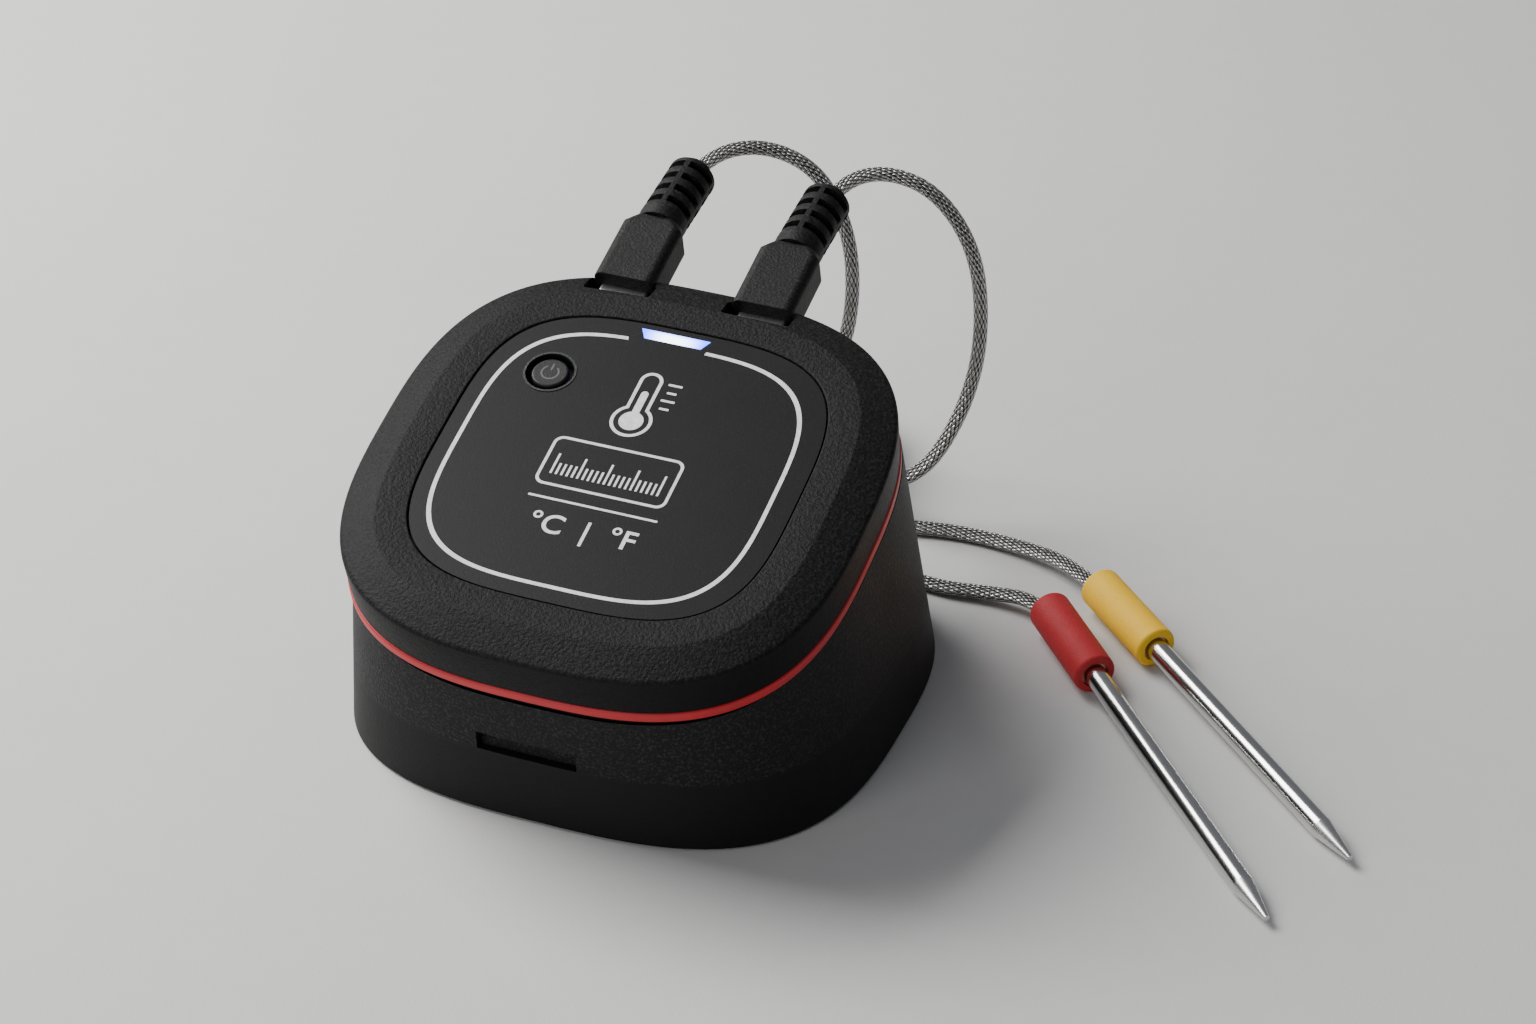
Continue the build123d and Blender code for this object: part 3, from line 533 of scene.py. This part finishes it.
def rounded(corners, steps=5):
    """Profile with eased corners: each corner is depth, half width, squareness and radius."""
    profile = []
    count = len(corners)
    for k, (depth, half, squareness, radius) in enumerate(corners):
        if radius == 0:
            profile.append((depth, half, squareness))
            continue
        here = Vector((depth, half))
        before = Vector(corners[k - 1][:2]) - here
        after = Vector(corners[(k + 1) % count][:2]) - here
        before.normalize()
        after.normalize()
        lean = before.angle(after) / 2
        centre = here + (before + after).normalized() * radius / math.sin(lean)
        start = here + before * radius / math.tan(lean) - centre
        end = here + after * radius / math.tan(lean) - centre
        for step in range(steps + 1):
            spoke = start.lerp(end, step / steps).normalized() * radius
            profile.append((centre.x + spoke.x, centre.y + spoke.y, squareness))
    return profile


def head_band(profile, count=288):
    """Closed band round the head, whose section is a profile of depth, half width, squareness."""
    points = []
    for depth, half, squareness in profile:
        for k in range(count):
            u, v = round_square(half, squareness, math.tau * (k + 0.5) / count)
            points.append(head_point(u, v, depth))
    rings = len(profile)
    faces = []
    for ring in range(rings):
        for k in range(count):
            a = ring * count + k
            b = ring * count + (k + 1) % count
            c = ((ring + 1) % rings) * count + (k + 1) % count
            d = ((ring + 1) % rings) * count + k
            faces.append((a, b, c, d))
    return outwards(mesh_of(points, faces))


def head_block(u0, u1, v0, v1, d0, d1, ease=0.0):
    """Block in the head, for cutting: u, v and depth limits in millimetres."""
    corners = [(u0, v0), (u1, v0), (u1, v1), (u0, v1)]
    outline = []
    for k, (u, v) in enumerate(corners):
        if ease == 0:
            outline.append((u, v))
            continue
        centre_u = u + (ease if u == u0 else -ease)
        centre_v = v + (ease if v == v0 else -ease)
        first = math.pi + k * math.pi / 2
        for step in range(5):
            angle = first + step * math.pi / 8
            outline.append((centre_u + ease * math.cos(angle), centre_v + ease * math.sin(angle)))
    count = len(outline)
    points = [head_point(u, v, d1) for u, v in outline]
    points += [head_point(u, v, d0) for u, v in outline]
    faces = [tuple(range(count))[::-1], tuple(range(count, 2 * count))]
    for k in range(count):
        j = (k + 1) % count
        faces.append((k, j, count + j, count + k))
    return outwards(mesh_of(points, faces))


# ---------------------------------------------------------------- cords
CORD_DIAMETER = 2.0
COIL_CENTRES = {"red": (-33.0, 50.0), "yellow": (-4.0, 58.5)}
CORD_ARCS = {
    "red": [
        boot_exit("red"),
        (-11.7, 49.3, 50.8),
        (-5.6, 54.8, 51.4),
        (2.6, 55.6, 48.6),
        (7.6, 54.9, 40.0),
        (8.8, 53.7, 29.5),
        (6.8, 54.0, 20.0),
        (0.5, 56.2, 13.8),
        (-10.0, 58.6, 11.9),
        (-20.5, 61.8, 10.4),
        (-27.5, 63.0, 7.9),
    ],
    "yellow": [
        boot_exit("yellow"),
        (7.8, 49.2, 50.8),
        (13.0, 53.2, 51.8),
        (20.6, 53.4, 49.8),
        (26.4, 53.4, 41.5),
        (27.9, 52.6, 30.0),
        (26.9, 51.6, 20.8),
        (24.4, 49.0, 13.4),
        (21.6, 47.7, 9.0),
        (17.2, 46.9, 6.2),
        (12.5, 49.2, 5.6),
        (10.3, 53.6, 5.8),
        (9.4, 60.0, 6.6),
    ],
}
CORD_LEADS = {
    "red": [
        (-15.0, 36.9, 1.0),
        (3.0, 37.3, 1.0),
        (14.5, 36.7, 1.0),
        (22.5, 34.0, 1.0),
        (29.5, 32.5, 1.0),
        (36.8, 33.6, 1.2),
        (43.3, 32.4, 2.6),
        (48.1, 27.3, 3.3),
    ],
    "yellow": [
        (5.0, 45.5, 1.0),
        (18.0, 44.6, 1.0),
        (27.0, 46.8, 1.0),
        (37.0, 46.0, 1.3),
        (45.6, 42.3, 2.8),
        (52.9, 35.3, 3.3),
    ],
}
# where each set of turns begins, and the part turns that carry it down a layer
COIL_STARTS = {"red": (90.0, 0.75, 1.0), "yellow": (35.9, 0.85, 0.95)}


def coil_points(colour):
    """Turns of a coil from its outside at the top to its outside at the table."""
    start, inner, outer = COIL_STARTS[colour]
    plan = [
        (3.0, 13.0, 7.0, 7.0, 7.0),
        (inner, 7.0, 7.0, 7.0, 5.0),
        (3.0, 7.0, 13.0, 5.0, 5.0),
        (outer, 13.0, 13.0, 5.0, 3.0),
        (3.0, 13.0, 7.0, 3.0, 3.0),
        (inner, 7.0, 7.0, 3.0, 1.0),
        (3.0, 7.0, 13.0, 1.0, 1.0),
    ]
    total = sum(stretch[0] for stretch in plan)
    count = round(total * 20)
    centre = COIL_CENTRES[colour]
    points = []
    for k in range(count + 1):
        turned = total * k / count
        left = turned
        for turns, r0, r1, z0, z1 in plan:
            if left <= turns + 1e-9:
                break
            left -= turns
        share = min(left / turns, 1.0)
        radius = r0 + (r1 - r0) * share
        height = z0 + (z1 - z0) * share
        angle = math.radians(start) + math.tau * turned
        x = centre[0] + radius * math.cos(angle)
        y = centre[1] + radius * math.sin(angle)
        points.append((x, y, height))
    return points


def centreline(name, points):
    """Points along the smooth spline that the route's points steer."""
    curve = bpy.data.curves.new(name, "CURVE")
    curve.dimensions = "3D"
    curve.resolution_u = 6
    spline = curve.splines.new("NURBS")
    spline.points.add(len(points) - 1)
    for point, place in zip(spline.points, points):
        point.co = (*(c * MM for c in place), 1)
    spline.order_u = 3
    spline.use_endpoint_u = True
    carrier = bpy.data.objects.new(name, curve)
    bpy.context.scene.collection.objects.link(carrier)
    evaluated = carrier.evaluated_get(bpy.context.evaluated_depsgraph_get())
    line = bpy.data.meshes.new_from_object(evaluated)
    route = [v.co.copy() for v in line.vertices]
    bpy.data.objects.remove(carrier)
    kept = [route[0]]
    for point in route[1:]:
        if (point - kept[-1]).length > 0.05 * MM:
            kept.append(point)
    return kept


def braided_tube(route, radius, sides, weave_pitch):
    """Round tube along a route, with a map of length and turn for its weave."""
    aim = (route[1] - route[0]).normalized()
    spoke = aim.orthogonal().normalized()
    rings = []
    run = 0.0
    for k, point in enumerate(route):
        ahead = route[min(k + 1, len(route) - 1)] - route[max(k - 1, 0)]
        new_aim = ahead.normalized()
        spoke = (aim.rotation_difference(new_aim) @ spoke).normalized()
        aim = new_aim
        if k:
            run += (point - route[k - 1]).length
        rings.append((point, aim.copy(), spoke.copy(), run))
    points = []
    for point, aim, spoke, _ in rings:
        other = aim.cross(spoke)
        for s in range(sides):
            angle = math.tau * s / sides
            points.append(point + (spoke * math.cos(angle) + other * math.sin(angle)) * radius)
    faces = [tuple(range(sides))[::-1]]
    maps = [[(0.0, 0.0)] * sides]
    for k in range(len(rings) - 1):
        here, there = rings[k][3] / weave_pitch, rings[k + 1][3] / weave_pitch
        for s in range(sides):
            j = (s + 1) % sides
            faces.append((k * sides + s, k * sides + j, (k + 1) * sides + j, (k + 1) * sides + s))
            low, high = s / sides, (s + 1) / sides
            maps.append([(here, low), (here, high), (there, high), (there, low)])
    last = (len(rings) - 1) * sides
    faces.append(tuple(range(last, last + sides)))
    maps.append([(0.0, 0.0)] * sides)
    mesh = bpy.data.meshes.new("cord")
    mesh.from_pydata([tuple(p) for p in points], [], faces)
    layer = mesh.uv_layers.new(name="length and turn")
    for polygon, corners in zip(mesh.polygons, maps):
        polygon.use_smooth = True
        for loop, place in zip(polygon.loop_indices, corners):
            layer.data[loop].uv = place
    return mesh


braid = braid_steel()
for colour in ("red", "yellow"):
    route_points = CORD_ARCS[colour] + coil_points(colour) + CORD_LEADS[colour]
    route = centreline(f"{colour} route", route_points)
    tube = braided_tube(route, CORD_DIAMETER / 2 * MM, 24, WEAVE_PITCH * MM)
    cord = add_piece(
        f"{colour}_braided_cord",
        tube,
        braid,
        f"{colour}_probe",
        (f"{colour}_cord", f"{colour}_lead", f"{colour}_coil"),
    )


# ---------------------------------------------------------------- front shell
shell_profile = rounded(
    [
        (2.1, 22.6, 3.45, 0),
        (0.9, 22.6, 3.45, 0),
        (0.9, 24.05, 3.45, 0),
        (0.0, 24.05, 3.45, 0.18),
        (0.0, 28.2, 3.15, 0.9),
        (1.54, 33.0, 2.87, 0.8),
        (7.4, 32.85, 2.87, 0.25),
        (7.4, 31.2, 2.87, 0),
        (3.6, 31.2, 2.87, 0),
        (2.1, 28.6, 3.0, 0),
    ]
)
shell = head_band(shell_profile)


def cut(mesh, cutters):
    """Mesh less each cutting block."""
    for cutter in cutters:
        block = bpy.data.objects.new("cutter", cutter)
        bpy.context.scene.collection.objects.link(block)
        mesh = applied(
            mesh, ("BOOLEAN", {"operation": "DIFFERENCE", "solver": "EXACT", "object": block})
        )
        bpy.data.objects.remove(block)
    return mesh


NOTCH_FLOOR = 28.3
NOTCH_HALF = 4.7
NOTCH_BOTTOM = 6.5
RECESS_HALF = 5.5
RECESS_TOP, RECESS_FOOT = 2.15, 7.3  # depths below the face
THROAT_HALF = 4.32  # the notch narrows to the plug's width in the side wall
notch_blocks = []
for u in PLUG_US.values():
    notch_blocks.append(head_block(u - NOTCH_HALF, u + NOTCH_HALF, NOTCH_FLOOR, 31.3, -2, NOTCH_BOTTOM, 0.5))
    notch_blocks.append(head_block(u - THROAT_HALF, u + THROAT_HALF, 30.5, 36, -2, 6.4))
shell = cut(shell, notch_blocks)
shade_by_angle(shell, 30)
add_piece("front_housing", shell, grained_shell(), "head", ("front_shell",))

for colour, u in PLUG_US.items():
    recess = head_block(
        u - RECESS_HALF, u + RECESS_HALF, NOTCH_FLOOR - 1.35, 31.1, RECESS_TOP, RECESS_FOOT
    )
    room = head_block(u - NOTCH_HALF, u + NOTCH_HALF, NOTCH_FLOOR - 0.03, 36, -2, NOTCH_BOTTOM)
    slot = head_block(u - 3.65, u + 3.65, 26, 29, PLUG_DEPTH - 0.95, PLUG_DEPTH + 0.95)
    wall = cut(recess, [room, slot])
    recess_finish = plain_black("matt black recess", 0.004, 0.6)
    add_piece(f"{colour}_notch_wall", wall, recess_finish, "head")

# ---------------------------------------------------------------- red band and rear shell
band_profile = rounded(
    [
        (8.9, 31.1, 2.87, 0),
        (7.4, 31.1, 2.87, 0),
        (7.4, 33.0, 2.87, 0.3),
        (8.9, 33.0, 2.87, 0.3),
    ]
)
band = head_band(band_profile)
shade_by_angle(band, 40)
add_piece("red_band", band, ring_red(), "head", ("accent_ring",))

softened_nodes = {
    "rear_shell": (0.3, 28, "head", "shell_black", plain_black("satin black rear", 0.0055, 0.42)),
    "display_panel": (0.12, 50, "head", "panel_black", panel_black()),
    "base_shell": (0.35, 13, "base", "shell_black", cradle_black()),
}
for node, (width, degrees, body, slot_name, material) in softened_nodes.items():
    add_piece(f"{node}_eased", softened(node, width, degrees), material, body, (node,))

plug_finish = plug_black()
for colour in ("red", "yellow"):
    for part, width in (("overmould", 0.35), ("boot", 0.18)):
        node = f"{colour}_{part}"
        add_piece(
            f"{node}_eased", softened(node, width, 35), plug_finish, f"{colour}_probe", (node,)
        )

# ---------------------------------------------------------------- printed marks on the face
# depths of a mark's top and foot below the face
FACE_PRINT = (0.135, 0.155)
RIM_PRINT = (0.05, 0.155)
BUTTON_PRINT = (0.188, 0.205)


def plates(outlines, layer=FACE_PRINT):
    """Thin raised marks: each is a closed outline of u and v."""
    top, foot = layer
    points = []
    faces = []
    for outline in outlines:
        first = len(points)
        count = len(outline)
        points += [head_point(u, v, foot) for u, v in outline]
        points += [head_point(u, v, top) for u, v in outline]
        faces.append(tuple(range(first, first + count))[::-1])
        faces.append(tuple(range(first + count, first + 2 * count)))
        for k in range(count):
            j = (k + 1) % count
            faces.append((first + k, first + j, first + count + j, first + count + k))
    return points, faces


def line_mark(outer, inner, closed, layer=FACE_PRINT):
    """Line between two outlines that run side by side."""
    top, foot = layer
    count = len(outer)
    points = []
    for depth in (foot, top):
        for outline in (outer, inner):
            points += [head_point(u, v, depth) for u, v in outline]
    faces = []
    for k in range(count if closed else count - 1):
        j = (k + 1) % count
        faces.append((2 * count + k, 3 * count + k, 3 * count + j, 2 * count + j))
        faces.append((k, j, count + j, count + k))
        faces.append((k, 2 * count + k, 2 * count + j, j))
        faces.append((count + k, count + j, 3 * count + j, 3 * count + k))
    if not closed:
        last = count - 1
        faces.append((0, count, 3 * count, 2 * count))
        faces.append((last, 2 * count + last, 3 * count + last, count + last))
    return points, faces


def joined(*marks):
    """One mesh of several marks."""
    points = []
    faces = []
    for more_points, more_faces in marks:
        first = len(points)
        points += more_points
        faces += [tuple(first + k for k in face) for face in more_faces]
    return outwards(mesh_of(points, faces))


def arc(centre, radius, first, last, steps=24):
    return [
        (
            centre[0] + radius * math.cos(math.radians(first + (last - first) * k / steps)),
            centre[1] + radius * math.sin(math.radians(first + (last - first) * k / steps)),
        )
        for k in range(steps + 1)
    ]


def rounded_box(centre, width, height, radius):
    """Outline of a rectangle with round corners."""
    u, v = centre
    outline = []
    for k, (side_u, side_v) in enumerate(((1, 1), (-1, 1), (-1, -1), (1, -1))):
        middle = (u + side_u * (width / 2 - radius), v + side_v * (height / 2 - radius))
        outline += arc(middle, radius, 90 * k, 90 * k + 90, 8)
    return outline


def bar(u, v, width, height):
    return rounded_box((u, v), width, height, min(width, height) * 0.3)


def thermometer_outline(centre, stem, bulb, top, foot):
    """Outline of a bulb with a round-ended stem above it."""
    u = centre
    join = math.degrees(math.acos(stem / bulb))
    lower = arc((u, foot), bulb, 180 - join, 360 + join, 40)
    upper = arc((u, top), stem, 0, 180, 24)
    return lower + upper


GAP_RIGHT = math.radians(79.0)
GAP_LEFT = math.radians(107.2)
line_steps = 300
sweep_angles = [
    GAP_LEFT + (math.tau + GAP_RIGHT - GAP_LEFT) * k / line_steps for k in range(line_steps + 1)
]


def face_outline(half):
    """Printed outline, which sits a little left of and below the middle of the face."""
    corners = [round_square(half, 3.49, angle) for angle in sweep_angles]
    return [(u - 0.4, v - 0.3) for u, v in corners]


frame_line = line_mark(face_outline(21.42), face_outline(20.88), False)
icon_u = -1.2
glyph = line_mark(
    thermometer_outline(icon_u, 1.55, 2.75, 14.3, 7.2),
    thermometer_outline(icon_u, 1.1, 2.3, 14.3, 7.2),
    True,
)
glyph_fill = plates([thermometer_outline(icon_u, 0.5, 1.6, 12.0, 7.2)])
glyph_ticks = plates(
    [
        bar(icon_u + 3.3, v, 1.9 if k % 2 else 1.3, 0.36)
        for k, v in enumerate((10.2, 11.6, 13.0, 14.4))
    ]
)
window_line = line_mark(
    rounded_box((-0.55, -1.7), 17.7, 8.3, 1.3), rounded_box((-0.55, -1.7), 16.9, 7.5, 0.95), True
)
divider = plates([bar(-0.4, -7.9, 17.4, 0.34)])


def row_of_marks(settings):
    """Row of upright marks along u, each standing on the row, every few of them taller."""
    tree = bpy.data.node_groups.new("row of marks", "GeometryNodeTree")
    tree.interface.new_socket(name="Geometry", in_out="OUTPUT", socket_type="NodeSocketGeometry")
    identifiers = {}
    for label, value in settings.items():
        kind = "NodeSocketInt" if isinstance(value, int) else "NodeSocketFloat"
        made = tree.interface.new_socket(name=label, in_out="INPUT", socket_type=kind)
        identifiers[label] = made.identifier
    given = tree.nodes.new("NodeGroupInput")
    result = tree.nodes.new("NodeGroupOutput")

    def node(kind, **inputs):
        made = tree.nodes.new(kind)
        for key, value in inputs.items():
            if isinstance(value, bpy.types.NodeSocket):
                tree.links.new(value, made.inputs[key])
            else:
                made.inputs[key].default_value = value
        return made

    def math_node(operation, *values):
        made = tree.nodes.new("ShaderNodeMath")
        made.operation = operation
        for socket, value in zip(made.inputs, values):
            if isinstance(value, bpy.types.NodeSocket):
                tree.links.new(value, socket)
            else:
                socket.default_value = value
        return made.outputs[0]

    size = node(
        "ShaderNodeCombineXYZ",
        X=given.outputs["Width"],
        Y=given.outputs["Height"],
        Z=given.outputs["Thickness"],
    )
    box = node("GeometryNodeMeshCube", Size=size.outputs[0])
    lift = node("ShaderNodeCombineXYZ", Y=math_node("MULTIPLY", given.outputs["Height"], 0.5))
    standing = node("GeometryNodeTransform", Geometry=box.outputs["Mesh"], Translation=lift.outputs[0])
    pitch = node("ShaderNodeCombineXYZ", X=given.outputs["Pitch"])
    line = node("GeometryNodeMeshLine", Count=given.outputs["Count"], Offset=pitch.outputs[0])
    index = node("GeometryNodeInputIndex")
    place = math_node("MODULO", index.outputs[0], given.outputs["Every"])
    tall = math_node("LESS_THAN", place, 0.5)
    growth = math_node("MULTIPLY_ADD", tall, given.outputs["Taller by"], 1.0)
    scale_of = node("ShaderNodeCombineXYZ", X=1.0, Y=growth, Z=1.0)
    copies = node(
        "GeometryNodeInstanceOnPoints",
        Points=line.outputs[0],
        Instance=standing.outputs[0],
        Scale=scale_of.outputs[0],
    )
    solid = node("GeometryNodeRealizeInstances", Geometry=copies.outputs[0])
    inked = node("GeometryNodeSetMaterial", Geometry=solid.outputs[0])
    inked.inputs["Material"].default_value = ink
    tree.links.new(inked.outputs[0], result.inputs[0])

    carrier = bpy.data.objects.new("row", bpy.data.meshes.new("row"))
    bpy.context.scene.collection.objects.link(carrier)
    modifier = carrier.modifiers.new("row", "NODES")
    modifier.node_group = tree
    for label, value in settings.items():
        modifier[identifiers[label]] = value
    evaluated = carrier.evaluated_get(bpy.context.evaluated_depsgraph_get())
    mesh = bpy.data.meshes.new_from_object(evaluated)
    bpy.data.objects.remove(carrier)
    return mesh


ink = print_grey()
SCALE_START = (-7.75, -3.9)
SCALE = {
    "Count": 21,
    "Every": 5,
    "Pitch": 0.72 * MM,
    "Width": 0.3 * MM,
    "Height": 1.9 * MM,
    "Thickness": (FACE_PRINT[1] - FACE_PRINT[0]) * MM,
    "Taller by": 0.8,
}
scale = row_of_marks(SCALE)
for vertex in scale.vertices:
    u, v, rise = vertex.co / MM
    vertex.co = head_point(u + SCALE_START[0], v + SCALE_START[1], sum(FACE_PRINT) / 2 - rise)
add_piece("scale_marks", outwards(scale), ink, "head")
marks = joined(frame_line, glyph, glyph_fill, glyph_ticks, window_line, divider)


def lettered(words, size, centre):
    """Raised letters that lie on the face, centred on a point."""
    curve = bpy.data.curves.new("letters", "FONT")
    curve.body = words
    curve.size = size
    curve.align_x = "CENTER"
    curve.align_y = "CENTER"
    curve.extrude = (FACE_PRINT[1] - FACE_PRINT[0]) / 2
    curve.offset = 0.05
    carrier = bpy.data.objects.new("letters", curve)
    bpy.context.scene.collection.objects.link(carrier)
    evaluated = carrier.evaluated_get(bpy.context.evaluated_depsgraph_get())
    mesh = bpy.data.meshes.new_from_object(evaluated)
    bpy.data.objects.remove(carrier)
    middle = sum(FACE_PRINT) / 2
    for vertex in mesh.vertices:
        u, v, rise = vertex.co
        vertex.co = head_point(centre[0] + u, centre[1] + v, middle - rise)
    return mesh


add_piece("face_marks", marks, ink, "head")
add_piece("unit_marks", lettered("°C  |  °F", 4.3, (-0.2, -12.0)), ink, "head")

# ---------------------------------------------------------------- button rim and mark
button_centre = (-14.5, 12.4)
rim_finish = plain_black("satin black rim", 0.03, 0.25)
rim = line_mark(
    arc(button_centre, 3.5, 0, 360, 64)[:-1],
    arc(button_centre, 3.2, 0, 360, 64)[:-1],
    True,
    RIM_PRINT,
)
add_piece("button_rim", joined(rim), rim_finish, "head")
power_ring = line_mark(
    arc(button_centre, 1.25, 125, 415, 40),
    arc(button_centre, 1.0, 125, 415, 40),
    False,
    BUTTON_PRINT,
)
power_bar = plates([bar(button_centre[0], button_centre[1] + 0.95, 0.26, 1.15)], BUTTON_PRINT)
add_piece("button_mark", joined(power_ring, power_bar), faint_print(), "button")

# ---------------------------------------------------------------- finishes of the frame's own pieces
PROBE_ENDS = {
    "red": (Vector((56.2, 17.9, 2.95)) * MM, Vector((89.9, -21.2, 1.3)) * MM),
    "yellow": (Vector((62.0, 26.8, 2.95)) * MM, Vector((96.5, -5.8, 1.3)) * MM),
}
plated = steel("nickel plate", 0.7, 0.2)
hidden_black = plain_black("plain black moulding", 0.02, 0.5, 0.6)
node_finishes = {
    "led_window": light_blue(),
    "battery_door": plain_black("black door", 0.012, 0.5),
    "battery_cells": coloured("cell sleeve", grey(0.05), grey(0.12), 0.3),
    "battery_tray": coloured("grey tray", grey(0.1), grey(0.14), 0.5),
    "battery_springs": plated,
    "battery_contacts": plated,
    "circuit_board": coloured("green board", (0.01, 0.12, 0.04, 1), (0.02, 0.2, 0.07, 1), 0.35),
    "switch_body": hidden_black,
    "radio_module": plated,
    "processor_chip": hidden_black,
    "led_chips": coloured("pale chip", (0.6, 0.55, 0.35, 1), (0.8, 0.75, 0.5, 1), 0.3),
    "red_socket": plated,
    "yellow_socket": plated,
    "keeper_discs": plated,
    "case_screws": plated,
    "base_floor": hidden_black,
    "foot_pad": plain_black("rubber pad", 0.02, 0.8, 0.5),
    "base_screws": plated,
    "cradle_magnets": plated,
    "mount_magnets": plated,
    "power_button": plain_black("satin black button", 0.016, 0.36, 0.25),
    "switch_plunger": hidden_black,
}
copper_finish = copper()
collar_finishes = {
    "red": collar_colour(
        "matt red collar", (0.42, 0.018, 0.024, 1), (0.52, 0.03, 0.036, 1), (0.28, 0.012, 0.016, 1)
    ),
    "yellow": collar_colour(
        "matt yellow collar", (0.90, 0.50, 0.010, 1), (0.96, 0.60, 0.03, 1), (0.7, 0.36, 0.008, 1)
    ),
}
for colour, (mouth, tip) in PROBE_ENDS.items():
    node_finishes[f"{colour}_plug_tip"] = plated
    node_finishes[f"{colour}_crimp"] = copper_finish
    node_finishes[f"{colour}_sensor"] = copper_finish
    node_finishes[f"{colour}_collar"] = collar_finishes[colour]
    node_finishes[f"{colour}_rod"] = rod_steel(f"{colour} probe steel", mouth, tip)
for node, material in node_finishes.items():
    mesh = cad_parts[node].data
    mesh.materials.clear()
    mesh.materials.append(material)

# ---------------------------------------------------------------- ground and light
ground_mesh = mesh_of(
    [(-3, -3, 0), (3, -3, 0), (3, 3, 0), (-3, 3, 0)], [(0, 1, 2, 3)], "ground"
)
ground_mesh.materials.append(floor_paper())
ground = bpy.data.objects.new("ground", ground_mesh)
bpy.context.scene.collection.objects.link(ground)
ground.location.z = -0.00005


def area_light(name, place, aim, width, height, power, tint):
    data = bpy.data.lights.new(name, "AREA")
    data.shape = "RECTANGLE"
    data.size = width
    data.size_y = height
    data.energy = power
    data.color = tint
    light = bpy.data.objects.new(name, data)
    bpy.context.scene.collection.objects.link(light)
    light.location = place
    light.rotation_euler = (Vector(aim) - Vector(place)).to_track_quat("-Z", "Y").to_euler()


area_light("window light", (-0.45, 0.08, 0.46), (0.02, 0, 0), 0.45, 0.45, 9.0, (1, 0.99, 0.975))
area_light("front fill", (-0.25, -0.75, 0.4), (0, 0, 0.02), 0.5, 0.35, 2.2, (1, 1, 1))
world = bpy.data.worlds.new("studio")
world.use_nodes = True
world.node_tree.nodes["Background"].inputs["Color"].default_value = (0.9, 0.93, 1.0, 1)
world.node_tree.nodes["Background"].inputs["Strength"].default_value = 0.2
bpy.context.scene.world = world
